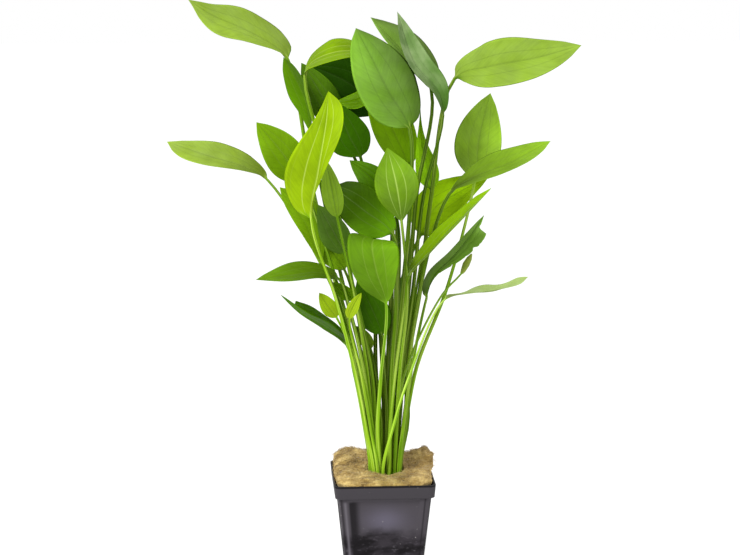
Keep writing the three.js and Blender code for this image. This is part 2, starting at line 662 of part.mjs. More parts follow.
// One ring of eight points: margin to margin over the upper side, and back under it
function bladeRing(leaf, along, centre, tangent, normal, neckRadius) {
  const roll = THREE.MathUtils.degToRad(leaf.twist * (along - 0.5));
  const up = normal.clone().applyAxisAngle(tangent, roll);
  const side = new THREE.Vector3().crossVectors(tangent, up);
  const fold = THREE.MathUtils.degToRad(leaf.fold);
  const blend = THREE.MathUtils.smoothstep(along, 0, NECK_LENGTH);
  const point = (across, under) => {
    const half = halfWidth(leaf, along, Math.sign(across));
    const ripple = leaf.wave * Math.sin(RIPPLE_TURNS * along + RIPPLE_OFFSET * Math.sign(across));
    const rise = half * Math.abs(across) * (Math.sin(fold) + ripple);
    const thickness = across === 0 ? RIB_THICKNESS : BLADE_THICKNESS;
    const flat = centre.clone()
      .addScaledVector(side, half * across * Math.cos(fold))
      .addScaledVector(up, rise + thickness * (under ? -SHARE_UNDER_SPINE : 1 - SHARE_UNDER_SPINE));
    const angle = Math.PI / 2 * (1 - across) * (under ? -1 : 1);
    const round = centre.clone()
      .addScaledVector(side, neckRadius * Math.cos(angle))
      .addScaledVector(up, neckRadius * Math.sin(angle));
    return round.lerp(flat, blend);
  };
  return [
    point(-1, false), point(-0.5, false), point(0, false), point(0.5, false),
    point(1, false), point(0.5, true), point(0, true), point(-0.5, true),
  ];
}

function roundRing(centre, tangent, normal, radius) {
  const side = new THREE.Vector3().crossVectors(tangent, normal);
  return Array.from({ length: 8 }, (unused, i) => {
    const angle = Math.PI - i * Math.PI / 4;
    return centre.clone()
      .addScaledVector(side, radius * Math.cos(angle))
      .addScaledVector(normal, radius * Math.sin(angle));
  });
}

function makeLeaf(leaf, stalk) {
  const { curve, start, spine, tangents } = bladeSpine(stalk, leaf.blade);
  const normals = bladeNormals(tangents, leaf.face);
  const stalkRings = [];
  let normal = normals[0].clone().applyAxisAngle(tangents[0], THREE.MathUtils.degToRad(-leaf.twist / 2));
  for (let i = stalk.length - 2; i >= 0; i -= 1) {
    const tangent = curve.getTangent(start * i / (stalk.length - 1));
    normal = squareTo(normal, tangent);
    stalkRings.unshift(roundRing(stalk[i], tangent, normal, stalkRadius(leaf, stalk[i].z)));
  }
  const neckRadius = stalkRadius(leaf, stalk[stalk.length - 1].z);
  const bladeRings = BLADE_STATIONS.map((along) => {
    const i = Math.round(along * SPINE_STEPS);
    return bladeRing(leaf, along, spine[i], tangents[i], normals[i], neckRadius);
  });
  return loft([...stalkRings, ...bladeRings], spine[SPINE_STEPS]);
}

// The flower stalk ends in a closed bud
const FLOWER = {
  width: 5,
  stout: 1,
  stalk: [[15, -3, 163], [29, -8, 216], [42, -11, 241], [54, -13, 263]],
  blade: [[68, -20, 280], [72, -20, 288], [77, -22, 298]],
};
const BUD_PROFILE = [[0, 1.1], [0.15, 2], [0.45, 3], [0.75, 2.3], [0.93, 1]];

function makeFlower(stalk) {
  const { curve, start, spine, tangents } = bladeSpine(stalk, FLOWER.blade);
  const normals = bladeNormals(tangents, [0, -1, 0.2]);
  const stalkRings = stalk.slice(0, -1).map((point, i) => {
    const tangent = curve.getTangent(start * i / (stalk.length - 1));
    return roundRing(point, tangent, squareTo(normals[0], tangent), stalkRadius(FLOWER, point.z));
  });
  const budRings = BUD_PROFILE.map(([along, radius]) => {
    const i = Math.round(along * SPINE_STEPS);
    return roundRing(spine[i], tangents[i], normals[i], radius);
  });
  return loft([...stalkRings, ...budRings], spine[SPINE_STEPS]);
}

add('pot', makePot(), plastic());
add('rock_wool', makeWool(), wool());
add('rootstock', makeRootstock(), root());

const leaves = Object.entries(LEAVES).map(([name, leaf]) => ({ name, ...USUAL_SHAPE, ...leaf }));
const stems = [...leaves, FLOWER];
const stalks = stems.map(stalkPoints);
settle(stalks, stems);
leaves.forEach((leaf, i) => add(leaf.name, makeLeaf(leaf, stalks[i]), green(leaf.tone)));
add('flower_stalk', makeFlower(stalks[leaves.length]), green('olive'));

export default object;
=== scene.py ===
# %% [markdown]
# # A potted pond plant, dressed for its photograph
#
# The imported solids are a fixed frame: a square pot, a block of rock wool, a rootstock, thirty-seven leaves on
# long stalks and one flower stalk with a closed bud. Each of them gets a finer shape and a finish here, in
# the place where its solid stands. Lengths are in metres, so sizes are written in millimetres times MM.

import math

import bmesh
import bpy
import numpy as np
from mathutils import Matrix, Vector


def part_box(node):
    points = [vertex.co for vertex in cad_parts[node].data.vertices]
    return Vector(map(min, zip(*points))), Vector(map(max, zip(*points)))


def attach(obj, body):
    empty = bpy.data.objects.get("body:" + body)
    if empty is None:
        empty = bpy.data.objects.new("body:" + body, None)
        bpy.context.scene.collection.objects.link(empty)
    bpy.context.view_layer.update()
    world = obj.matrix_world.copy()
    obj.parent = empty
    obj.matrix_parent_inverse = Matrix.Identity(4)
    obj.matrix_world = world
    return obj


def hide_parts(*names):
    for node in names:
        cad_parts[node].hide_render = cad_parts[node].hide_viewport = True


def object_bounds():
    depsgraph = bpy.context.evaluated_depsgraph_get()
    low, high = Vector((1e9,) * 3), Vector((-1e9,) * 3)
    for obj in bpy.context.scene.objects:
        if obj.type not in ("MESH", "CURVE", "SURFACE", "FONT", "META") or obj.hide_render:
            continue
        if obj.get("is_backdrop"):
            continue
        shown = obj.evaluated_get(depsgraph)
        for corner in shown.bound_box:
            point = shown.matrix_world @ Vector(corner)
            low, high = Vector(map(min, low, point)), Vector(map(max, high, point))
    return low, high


MM = 0.001
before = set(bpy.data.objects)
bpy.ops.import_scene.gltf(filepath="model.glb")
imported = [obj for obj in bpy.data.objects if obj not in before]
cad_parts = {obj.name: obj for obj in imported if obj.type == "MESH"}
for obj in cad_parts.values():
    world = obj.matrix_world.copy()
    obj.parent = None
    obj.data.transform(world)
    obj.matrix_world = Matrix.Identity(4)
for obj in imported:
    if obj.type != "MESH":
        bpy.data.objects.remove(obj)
cad_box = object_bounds()
print("frame of", len(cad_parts), "nodes, up to", round(cad_box[1].z / MM), "mm tall")

# %% [markdown]
# ## The camera
#
# The camera stood a little above the plant's middle and looked slightly down, with a long lens, because the
# pot's sides hardly converge. The plant is turned a few degrees, so a sliver of the pot's left side shows.
# The lens follows from how many pixels an object as wide as its distance from the camera would cover.

# %% Camera
PHOTO_WIDTH = 740
SENSOR_WIDTH = 36
FOCAL_PIXELS = 2034
CAMERA_DISTANCE = 1800 * MM
CAMERA_TILT = math.radians(10.5)
PLANT_TURN = math.radians(3.5)
AIM_ASIDE = -10.9 * MM
AIM_HEIGHT = 273.6 * MM


def place_camera():
    data = bpy.data.cameras.new("camera")
    data.sensor_width = SENSOR_WIDTH
    data.lens = FOCAL_PIXELS / PHOTO_WIDTH * SENSOR_WIDTH
    camera = bpy.data.objects.new("camera", data)
    bpy.context.scene.collection.objects.link(camera)
    right = Vector((math.cos(PLANT_TURN), -math.sin(PLANT_TURN), 0))
    level = Vector((math.sin(PLANT_TURN), math.cos(PLANT_TURN), 0))
    look = level * math.cos(CAMERA_TILT) - Vector((0, 0, math.sin(CAMERA_TILT)))
    camera.location = right * AIM_ASIDE + Vector((0, 0, AIM_HEIGHT)) - look * CAMERA_DISTANCE
    camera.rotation_mode = "QUATERNION"
    camera.rotation_quaternion = look.to_track_quat("-Z", "Y")
    bpy.context.scene.camera = camera
    return camera


print("camera at", [round(c / MM) for c in place_camera().location], "mm")

# %% [markdown]
# ## Light and floor
#
# The photo was taken in a white tent: the background is blown out, and the shadows inside the plant are soft.
# A white world gives that even light. A large lamp from the upper left and a weaker one from the right model
# the leaves. The floor is so bright that it stays white behind the whole plant.

# %% World, lamps and floor
WORLD_STRENGTH = 1.0
KEY_LAMP = {"place": (-1.5, -1.7, 2.2), "size": 1.1, "watts": 80}
FILL_LAMP = {"place": (1.9, -1.3, 1.2), "size": 1.4, "watts": 12}
LAMP_AIM = Vector((0, 0, 0.3))
FLOOR_WIDTH = 14
FLOOR_PAPER = {
    "Base Color": (0.3, 0.3, 0.3, 1),
    "Roughness": 0.9,
    "Specular IOR Level": 0.1,
    "Emission Color": (1, 1, 1, 1),
    "Emission Strength": 0.75,
}


def light_world():
    world = bpy.data.worlds.new("white_tent")
    world.use_nodes = True
    world.node_tree.nodes["Background"].inputs["Color"].default_value = (1, 1, 1, 1)
    world.node_tree.nodes["Background"].inputs["Strength"].default_value = WORLD_STRENGTH
    bpy.context.scene.world = world


def hang_lamp(name, place, size, watts):
    data = bpy.data.lights.new(name, "AREA")
    data.shape = "DISK"
    data.size = size
    data.energy = watts
    lamp = bpy.data.objects.new(name, data)
    lamp.location = place
    lamp.rotation_mode = "QUATERNION"
    lamp.rotation_quaternion = (LAMP_AIM - lamp.location).to_track_quat("-Z", "Y")
    bpy.context.scene.collection.objects.link(lamp)


def lay_floor():
    half = FLOOR_WIDTH / 2
    mesh = bpy.data.meshes.new("floor")
    corners = [(-half, -half, 0), (half, -half, 0), (half, half, 0), (-half, half, 0)]
    mesh.from_pydata(corners, [], [(0, 1, 2, 3)])
    paper = bpy.data.materials.new("white_paper")
    paper.use_nodes = True
    for title, value in FLOOR_PAPER.items():
        paper.node_tree.nodes["Principled BSDF"].inputs[title].default_value = value
    mesh.materials.append(paper)
    floor = bpy.data.objects.new("floor", mesh)
    bpy.context.scene.collection.objects.link(floor)
    floor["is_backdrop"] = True


bpy.context.scene.view_settings.view_transform = "Standard"
light_world()
hang_lamp("key_lamp", **KEY_LAMP)
hang_lamp("fill_lamp", **FILL_LAMP)
lay_floor()
print("a white world, two lamps and a floor", FLOOR_WIDTH, "m wide")

# %% [markdown]
# ## Formulas that write node trees
#
# Leaves, wool and finishes are all made by node trees. A formula such as half = width / 2 * sin(x) takes four
# nodes and their links, which is hard to read when each is made by hand. So a Field stands for a value that
# flows through a tree: sums, products and powers of fields add the nodes for them. The same short calls serve
# shapes and materials, because both kinds of tree share their maths nodes.

# %% Fields


class Field:
    """A number, direction or colour that flows through a node tree."""

    def __init__(self, nodes, socket):
        self.nodes = nodes
        self.socket = socket

    @property
    def directed(self):
        return self.socket.type == "VECTOR"

    def __add__(self, other):
        return self.nodes.combine("ADD", self, other)

    def __sub__(self, other):
        return self.nodes.combine("SUBTRACT", self, other)

    def __rsub__(self, other):
        return self.nodes.combine("SUBTRACT", other, self)

    def __mul__(self, other):
        if self.directed:
            return self.nodes.call("ShaderNodeVectorMath", {0: self, "Scale": other}, operation="SCALE")
        if isinstance(other, Field) and other.directed:
            return other * self
        return self.nodes.math("MULTIPLY", self, other)

    def __truediv__(self, other):
        return self.nodes.math("DIVIDE", self, other)

    def __pow__(self, power):
        return self.nodes.math("POWER", self.nodes.math("MAXIMUM", self, 0.0), power)

    def __neg__(self):
        return self * -1.0

    __radd__ = __add__
    __rmul__ = __mul__


class Nodes:
    """Short calls that add nodes to one tree."""

    def __init__(self, tree):
        self.tree = tree

    def feed(self, socket, value):
        if isinstance(value, Field):
            self.tree.links.new(value.socket, socket)
        else:
            socket.default_value = value

    def call(self, kind, inputs, output=0, **settings):
        """Adds a node, feeds its inputs by name or number, and gives one of its outputs."""
        node = self.tree.nodes.new(kind)
        for name, value in settings.items():
            setattr(node, name, value)
        for key, value in inputs.items():
            self.feed(node.inputs[key], value)
        return Field(self, node.outputs[output])

    def math(self, operation, *values):
        return self.call("ShaderNodeMath", dict(enumerate(values)), operation=operation)

    def combine(self, operation, a, b):
        if any(isinstance(value, Field) and value.directed for value in (a, b)):
            return self.call("ShaderNodeVectorMath", {0: a, 1: b}, operation=operation)
        return self.math(operation, a, b)

    def sin(self, x):
        return self.math("SINE", x)

    def cos(self, x):
        return self.math("COSINE", x)

    def size(self, x):
        return self.math("ABSOLUTE", x)

    def clamp(self, x):
        return self.math("MINIMUM", self.math("MAXIMUM", x, 0.0), 1.0)

    def smooth(self, x, low, high):
        """0 up to low, 1 from high, and a smooth step between."""
        inputs = {"Value": x, "From Min": low, "From Max": high}
        return self.call("ShaderNodeMapRange", inputs, interpolation_type="SMOOTHSTEP")

    def hill(self, x, width):
        """1 where x is 0, falling off to nothing over a few widths."""
        return self.math("POWER", math.e, -((x / width) * (x / width)))

    def blend(self, share, a, b):
        """a where share is 0, b where it is 1, for numbers."""
        return a + (b - a) * share

    def noise(self, place, scale, detail=2.0, roughness=0.5):
        inputs = {"Vector": place, "Scale": scale, "Detail": detail, "Roughness": roughness}
        return self.call("ShaderNodeTexNoise", inputs)

    def vector(self, x, y, z):
        return self.call("ShaderNodeCombineXYZ", {0: x, 1: y, 2: z})

    def part(self, vector, axis):
        return self.call("ShaderNodeSeparateXYZ", {0: vector}, output="XYZ".index(axis))


class Recipe(Nodes):
    """A Geometry Nodes tree with named inputs, which makes one plain mesh with one material."""

    SOCKETS = {int: "NodeSocketInt", float: "NodeSocketFloat", tuple: "NodeSocketVector"}

    def __init__(self, name, inputs):
        super().__init__(bpy.data.node_groups.new(name, "GeometryNodeTree"))
        interface = self.tree.interface
        interface.new_socket("Geometry", in_out="INPUT", socket_type="NodeSocketGeometry")
        for title, usual in inputs.items():
            kind = self.SOCKETS[type(usual)]
            interface.new_socket(title, in_out="INPUT", socket_type=kind).default_value = usual
        interface.new_socket("Material", in_out="INPUT", socket_type="NodeSocketMaterial")
        interface.new_socket("Geometry", in_out="OUTPUT", socket_type="NodeSocketGeometry")
        self.entry = self.tree.nodes.new("NodeGroupInput")

    def given(self, title):
        return Field(self, self.entry.outputs[title])

    def store(self, geometry, name, value, kind="FLOAT", domain="POINT"):
        inputs = {"Geometry": geometry, "Name": name, "Value": value}
        return self.call("GeometryNodeStoreNamedAttribute", inputs, data_type=kind, domain=domain)

    def end(self, geometry):
        plain = self.call("GeometryNodeRealizeInstances", {"Geometry": geometry})
        paint = {"Geometry": plain, "Material": self.given("Material")}
        painted = self.call("GeometryNodeSetMaterial", paint)
        last = self.tree.nodes.new("NodeGroupOutput")
        self.feed(last.inputs["Geometry"], painted)
        return self.tree


def grow(name, source, tree, values, material):
    """Runs a tree on a mesh, and gives the result as an object with a plain mesh."""
    piece = bpy.data.objects.new(name, source)
    bpy.context.scene.collection.objects.link(piece)
    modifier = piece.modifiers.new(tree.name, "NODES")
    modifier.node_group = tree
    identifiers = {item.name: item.identifier for item in tree.interface.items_tree if item.in_out == "INPUT"}
    for title, value in values.items():
        modifier[identifiers[title]] = value
    modifier[identifiers["Material"]] = material
    graph = bpy.context.evaluated_depsgraph_get()
    grown = piece.evaluated_get(graph)
    mesh = bpy.data.meshes.new_from_object(grown, preserve_all_data_layers=True, depsgraph=graph)
    piece.modifiers.clear()
    piece.data = mesh
    mesh.name = name
    bpy.data.meshes.remove(source)
    return piece


def triangles(piece):
    return sum(len(face.vertices) - 2 for face in piece.data.polygons)


print("helpers ready")

# %% [markdown]
# ## Colours
#
# A colour read off a photograph is stored for a screen, and the shader wants it as light. One short function
# turns the first into the second, so that colours can be written as red, green and blue from 0 to 255.


# %% Colour helper
def colour(red, green, blue):
    def light(level):
        level = level / 255
        return level / 12.92 if level <= 0.04045 else ((level + 0.055) / 1.055) ** 2.4

    return (light(red), light(green), light(blue), 1.0)


print("mid grey is", round(colour(128, 128, 128)[0], 3), "of white light")

# %% [markdown]
# ## The way a finish is written
#
# Every finish in this scene is one Principled shader. What varies over the surface is a formula on the place
# in the piece, its UV map or an attribute that the shape's tree has stored. What is the same everywhere is
# set on the shader's own socket.

# %% Finishes


class Finish(Nodes):
    """A material around one Principled shader. Constants are set by socket name."""

    def __init__(self, name, constants):
        self.material = bpy.data.materials.new(name)
        self.material.use_nodes = True
        super().__init__(self.material.node_tree)
        self.shader = self.tree.nodes["Principled BSDF"]
        for title, value in constants.items():
            self.shader.inputs[title].default_value = value

    def place(self):
        return self.call("ShaderNodeTexCoord", {}, output="Object")

    def attribute(self, name):
        return self.call("ShaderNodeAttribute", {}, output="Fac", attribute_name=name)

    def tint(self, share, a, b):
        """Colour a where share is 0, b where it is 1."""
        inputs = {0: share, 6: a, 7: b}
        return self.call("ShaderNodeMix", inputs, output=2, data_type="RGBA")

    def cells(self, place, scale):
        """The distance from the nearest of many scattered points, as a share of their spacing."""
        return self.call("ShaderNodeTexVoronoi", {"Vector": place, "Scale": scale})

    def streaks(self, place, scales, detail):
        """A noise with a scale of its own along each axis."""
        mapped = self.call("ShaderNodeMapping", {"Vector": place, "Scale": scales})
        return self.noise(mapped, 1.0, detail=detail)

    def finish(self, base, roughness, height, depth):
        """Sets the colour, the roughness and the relief, whose depth is in metres."""
        self.feed(self.shader.inputs["Base Color"], base)
        self.feed(self.shader.inputs["Roughness"], roughness)
        bump = self.call("ShaderNodeBump", {"Strength": 1.0, "Distance": depth, "Height": height})
        self.feed(self.shader.inputs["Normal"], bump)
        return self.material


print("finishes ready")

# %% [markdown]
# ## The line that a leaf follows
#
# A leaf is one grown piece: a stalk that rises out of the bundle, and a blade that goes on from it. Both
# follow one smooth line through a few points. The stalk's points are the middles of its solid's rings, at the
# heights where the stalks lean on each other. The blade's points along the midrib are listed one by one.
# The curve is a centripetal Catmull-Rom curve, which passes through its points without overshooting. All
# lengths of a line are plain millimetres, until it becomes a mesh.

# %% Points of a line
STALK_LEVELS = [79.3, 104, 140, 190, 260, 345]
LEVEL_CLEARANCE = 14
RING_REACH = 4
STALK_STEPS = 60
BLADE_STEPS = 96
FINE_STEPS = 60


def ring_middle(node, level):
    """The middle of a stalk's ring of points near a height, in millimetres."""
    points = {tuple(round(c / MM, 3) for c in vertex.co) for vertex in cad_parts[node].data.vertices}
    near = [point for point in points if abs(point[2] - level) < RING_REACH]
    return np.mean(near, axis=0)


def between(points, k, share):
    """A place on the smooth curve through the points, at a share of the way from point k to the next."""
    start, end = points[k], points[k + 1]
    before = points[k - 1] if k > 0 else 2 * start - end
    after = points[k + 2] if k + 2 < len(points) else 2 * end - start
    d0, d1, d2 = (math.sqrt(np.linalg.norm(b - a)) for a, b in ((before, start), (start, end), (end, after)))
    leave = d1 * ((start - before) / d0 - (end - before) / (d0 + d1) + (end - start) / d1)
    arrive = d1 * ((end - start) / d1 - (after - start) / (d1 + d2) + (after - end) / d2)
    bend = 3 * (end - start) - 2 * leave - arrive
    return start + share * leave + share**2 * bend + share**3 * (2 * (start - end) + leave + arrive)


def even_line(points, first, last, steps):
    """Evenly spaced places on the curve from point first to point last, and their length in all."""
    shares = [i / FINE_STEPS for i in range(FINE_STEPS)]
    inner = [between(points, k, share) for k in range(first, last) for share in shares]
    fine = np.array(inner + [points[last]])
    lengths = np.concatenate([[0], np.cumsum(np.linalg.norm(np.diff(fine, axis=0), axis=1))])
    wanted = np.linspace(0, lengths[-1], steps + 1)
    return np.stack([np.interp(wanted, lengths, fine[:, c]) for c in range(3)], axis=1), lengths[-1]


print("a stalk has", STALK_STEPS, "steps and a blade", BLADE_STEPS)


# %% Which way a blade looks
def square_to(direction, tangent):
    direction = direction - tangent * np.dot(direction, tangent)
    return direction / np.linalg.norm(direction)


def facing_along(tangents, start, facing):
    """The facing direction carried along the line from one step to both ends, always square to the line."""
    found = [None] * len(tangents)
    found[start] = square_to(np.array(facing, float), tangents[start])
    for i in range(start + 1, len(tangents)):
        found[i] = square_to(found[i - 1], tangents[i])
    for i in range(start - 1, -1, -1):
        found[i] = square_to(found[i + 1], tangents[i])
    return found


def leaf_line(node, blade, face, radius_at):
    """The line as a mesh of edges with a facing and a radius at each point, and the stalk's share of it."""
    neck = np.array(blade[0], float)
    levels = [level for level in STALK_LEVELS if level < neck[2] - LEVEL_CLEARANCE]
    points = [ring_middle(node, level) for level in levels] + [np.array(point, float) for point in blade]
    stalk, stalk_length = even_line(points, 0, len(levels), STALK_STEPS)
    spine, blade_length = even_line(points, len(levels), len(points) - 1, BLADE_STEPS)
    places = np.concatenate([stalk, spine[1:]])
    tangents = np.gradient(places, axis=0)
    tangents /= np.linalg.norm(tangents, axis=1)[:, None]
    facing = facing_along(tangents, STALK_STEPS + BLADE_STEPS // 2, face)
    radii = [radius_at(place[2], max(0, i - STALK_STEPS) / BLADE_STEPS) for i, place in enumerate(places)]
    mesh = bpy.data.meshes.new(node)
    mesh.from_pydata(places * MM, [(i, i + 1) for i in range(len(places) - 1)], [])
    mesh.attributes.new("facing", "FLOAT_VECTOR", "POINT").data.foreach_set("vector", np.ravel(facing))
    mesh.attributes.new("radius", "FLOAT", "POINT").data.foreach_set("value", np.array(radii) * MM)
    return mesh, stalk_length / (stalk_length + blade_length)


print("lines carry a facing and a radius")

# %% [markdown]
# ## One recipe for every leaf
#
# All leaves grow by one rule, so one Geometry Nodes tree makes them all. It lays a grid of rings and sides
# along the line. On the stalk a ring is round. Past the neck it flattens into a thin lens whose width swells
# and shrinks along the blade, and each half can be folded up, rippled and twisted about the midrib. One half
# can be torn short of the tip and have bites in its margin. Five veins run from the neck to the tip in long
# arcs, and the sheet bulges a little between them.
# The recipe also stores what the finish needs later: the place on the blade as a UV map, the upper and lower
# side, how far up the stalk a point is, and the leaf's own colour, its painted light and shade, its veins and
# its painted sheen.

# %% The leaf tree
RINGS = 112
STALK_RINGS = 34
SIDES = 56
NECK_SHARE = 0.05
STRAIGHT_FROM = 0.89
LEAST_HALF = 0.25 * MM
SIDE_CROWDING = 1.25
RIPPLE_TURNS = 9
RIPPLE_OFFSET = 2.4
TEAR_LENGTH = 0.02
BITES_ALONG = 13.0
BITE_LEVELS = (0.48, 0.66)
VEIN_STEP = 0.4
CRUMPLE_SCALE = 32.0
THIN_SHARE = 0.15
THICK_FROM = 3 * MM
GROOVE_WIDTH = 1.1 * MM
GROOVE_DEPTH = 0.28 * MM
KEEL_WIDTH = 1.3 * MM
KEEL_DEPTH = 1.1
KEEL_FADE = 1.3
STALK_RIBS = 5.0
STALK_RIB_DEPTH = 0.05
POINT_SHARE = 0.02
STEM_SHARE = 0.09
PAINTED_SPOT_LENGTH = 0.2
PAINTED_SPOT_WIDTH = 0.5
LEAST_LIGHT = 0.1
WELD = 0.004 * MM
# From Tip on, all inputs but Veins paint light and shade: along and across the blade, in one spot, as a painted
# sheen and on the stalk
LEAF_SIZES = {
    "Width": 0.04,
    "Widest": 0.4,
    "Lean": 0.0,
    "Fullness": 0.85,
    "Fold": 0.1,
    "Twist": 0.0,
    "Wave": 0.04,
    "Tear": (1.0, 1.0, 0.0),
    "Ragged": 0.0,
    "Neck": 0.75,
    "Flatness": 1.0,
    "Thickness": 0.55 * MM,
    "Quilting": 0.32 * MM,
    "Crumple": 1.5 * MM,
    "Skin": (0.2, 0.4, 0.02),
    "Tip": 0.0,
    "Slant": 0.0,
    "Veins": 0.0,
    "Painted Sheen": 0.0,
    "Painted Sheen Tip": 0.0,
    "Painted Light Spot": (0.5, 0.0, 0.0),
    "Stalk Light": 1.0,
}


def leaf_recipe():
    r = Recipe("leaf_recipe", LEAF_SIZES)
    counts = {"Size X": 1.0, "Size Y": 1.0, "Vertices X": RINGS, "Vertices Y": SIDES + 1}
    grid = r.call("GeometryNodeMeshGrid", counts)
    cell = Field(r, grid.socket.node.outputs["UV Map"])
    ring = r.math("ROUND", r.part(cell, "X") * (RINGS - 1.0))
    turn = r.part(cell, "Y")

    # How far a ring is up the stalk, and how far along the blade
    rise = r.clamp((ring - 1.0) / (STALK_RINGS - 1.0))
    along = r.clamp((ring - float(STALK_RINGS)) / (RINGS - 1.0 - STALK_RINGS))
    neck = r.given("Neck")
    factor = rise * neck + along * (1.0 - neck)

    line = r.call("GeometryNodeMeshToCurve", {"Mesh": r.given("Geometry")})

    def on_line(name, kind):
        value = r.call("GeometryNodeInputNamedAttribute", {"Name": name}, data_type=kind)
        inputs = {"Curves": line, "Factor": factor, "Value": value}
        return r.call("GeometryNodeSampleCurve", inputs, mode="FACTOR", data_type=kind)

    facing = on_line("facing", "FLOAT_VECTOR")
    radius = on_line("radius", "FLOAT")
    middle = Field(r, facing.socket.node.outputs["Position"])
    tangent = Field(r, facing.socket.node.outputs["Tangent"])

    # The upper side's direction turns about the line with the twist
    turned = {"Vector": facing, "Axis": tangent, "Angle": r.given("Twist") * (along - 0.5)}
    lifted = r.call("ShaderNodeVectorRotate", turned, rotation_type="AXIS_ANGLE")
    sideways = r.call("ShaderNodeVectorMath", {0: tangent, 1: lifted}, operation="CROSS_PRODUCT")
    side = r.call("ShaderNodeVectorMath", {0: sideways}, operation="NORMALIZE")
    up = r.call("ShaderNodeVectorMath", {0: side, 1: tangent}, operation="CROSS_PRODUCT")

    # Across the blade: 1 at one margin, 0 at the midrib, -1 at the other margin, first above, then below
    raw = 4.0 * r.size(turn - 0.5) - 1.0
    hand = r.math("SIGN", raw)
    reach = r.size(raw) ** SIDE_CROWDING
    above = r.math("SIGN", 0.5 - turn)
    bend = r.math("LOGARITHM", 0.5, r.given("Widest") + r.given("Lean") * hand)
    wide = r.math("MINIMUM", along, STRAIGHT_FROM)
    straight = r.clamp((1.0 - along) / (1.0 - STRAIGHT_FROM))
    swell = r.sin(math.pi * wide**bend) ** r.given("Fullness")
    half = (r.given("Width") * 0.5 * swell + LEAST_HALF) * straight

    # Damage of one half: it is narrower past the tear, and its margin may have bites of different depths
    torn_from, torn_side, torn_depth = (r.part(r.given("Tear"), axis) for axis in "XYZ")
    torn_half = r.clamp(hand * torn_side)
    torn = r.smooth(along, torn_from, torn_from + TEAR_LENGTH) * torn_depth
    bites = r.smooth(r.noise(r.vector(along * BITES_ALONG, 0.0, 0.0), 1.0), *BITE_LEVELS) * r.given("Ragged")
    half = half * (1.0 - torn_half * torn) * (1.0 - torn_half * bites)

    # How far inside the margin a point is, the waves of the halves, and a share that is 0 at both ends
    inward = 1.0 - reach * reach
    ripple = r.given("Wave") * r.sin(float(RIPPLE_TURNS) * along + RIPPLE_OFFSET * hand)
    body = r.sin(math.pi * along) ** 0.5

    # The sheet's own relief: bulges between the veins, a groove over the midrib, a keel under it, a crumple
    bulge = r.given("Quilting") * body * (0.5 - 0.5 * r.cos(reach * (2 * math.pi / VEIN_STEP)))
    place = middle + side * (half * raw)
    crumple = r.given("Crumple") * (r.noise(place, CRUMPLE_SCALE) - 0.5) * body * reach
    fullness = THIN_SHARE * straight + (1.0 - THIN_SHARE) * r.smooth(half, 0.0, THICK_FROM)
    lens = above * r.given("Thickness") * 0.5 * inward**0.5 * fullness
    under = r.math("LESS_THAN", above, 0.0)
    keel_height = radius * KEEL_DEPTH * (1.0 - along) ** KEEL_FADE
    keel = under * inward * keel_height * r.hill(reach * half, KEEL_WIDTH)
    groove = GROOVE_DEPTH * r.hill(reach * half, GROOVE_WIDTH) * body

    flat_out = half * reach * hand * r.cos(r.given("Fold"))
    flat_up = half * reach * (r.sin(r.given("Fold")) + ripple) + lens + bulge + crumple - keel - groove

    # The round section of the stalk, with faint ribs, closed at its foot
    angle = 2 * math.pi * turn
    closed = r.math("MINIMUM", ring, 1.0)
    tapered = r.blend(r.given("Flatness"), r.smooth(1.0 - along, 0.0, POINT_SHARE), 1.0)
    ribbed = radius * (1.0 + STALK_RIB_DEPTH * r.cos(STALK_RIBS * angle)) * closed * tapered
    flatness = r.smooth(along, 0.0, NECK_SHARE) * r.given("Flatness")
    out = r.blend(flatness, ribbed * r.cos(angle), flat_out)
    high = r.blend(flatness, ribbed * r.sin(angle), flat_up)
    placed = {"Geometry": grid, "Position": middle + side * out + up * high}
    skin = r.call("GeometryNodeSetPosition", placed)

    # What the finish reads
    across = reach * hand * 0.5 + 0.5
    skin = r.store(skin, "UVMap", r.vector(along, across, 0.0), kind="FLOAT2", domain="CORNER")
    skin = r.store(skin, "upper", r.sin(angle))
    skin = r.store(skin, "rise", rise)
    skin = r.store(skin, "stem", 1.0 - r.smooth(along, 0.0, STEM_SHARE) * r.given("Flatness"))
    skin = r.store(skin, "skin", r.given("Skin"), kind="FLOAT_VECTOR")
    # Painted light and shade: lighter or darker towards the tip and to one side, and a painted spot of light or
    # shade
    spot_along, spot_aside, spot_strength = (r.part(r.given("Painted Light Spot"), axis) for axis in "XYZ")
    painted_light_spot = r.hill(along - spot_along, PAINTED_SPOT_LENGTH) * r.hill(reach * hand - spot_aside, PAINTED_SPOT_WIDTH)
    light = 1.0 + r.given("Tip") * (along - 0.5) + r.given("Slant") * 0.5 * reach * hand
    skin = r.store(skin, "light", r.math("MAXIMUM", light + spot_strength * painted_light_spot, LEAST_LIGHT))
    skin = r.store(skin, "veins", r.given("Veins"))
    # A painted sheen, on some leaves only towards the tip
    towards_tip = r.clamp(1.0 + r.given("Painted Sheen Tip") * (2.0 * along - 1.0))
    skin = r.store(skin, "painted_sheen", r.given("Painted Sheen") * towards_tip)
    # How much painted light or shade the stalk gets
    skin = r.store(skin, "stalk_light", r.given("Stalk Light"))
    joined = r.call("GeometryNodeMergeByDistance", {"Geometry": skin, "Distance": WELD})
    return r.end(r.call("GeometryNodeSetShadeSmooth", {"Geometry": joined}))


LEAF_TREE = leaf_recipe()
print("the leaf recipe has", len(LEAF_TREE.nodes), "nodes")
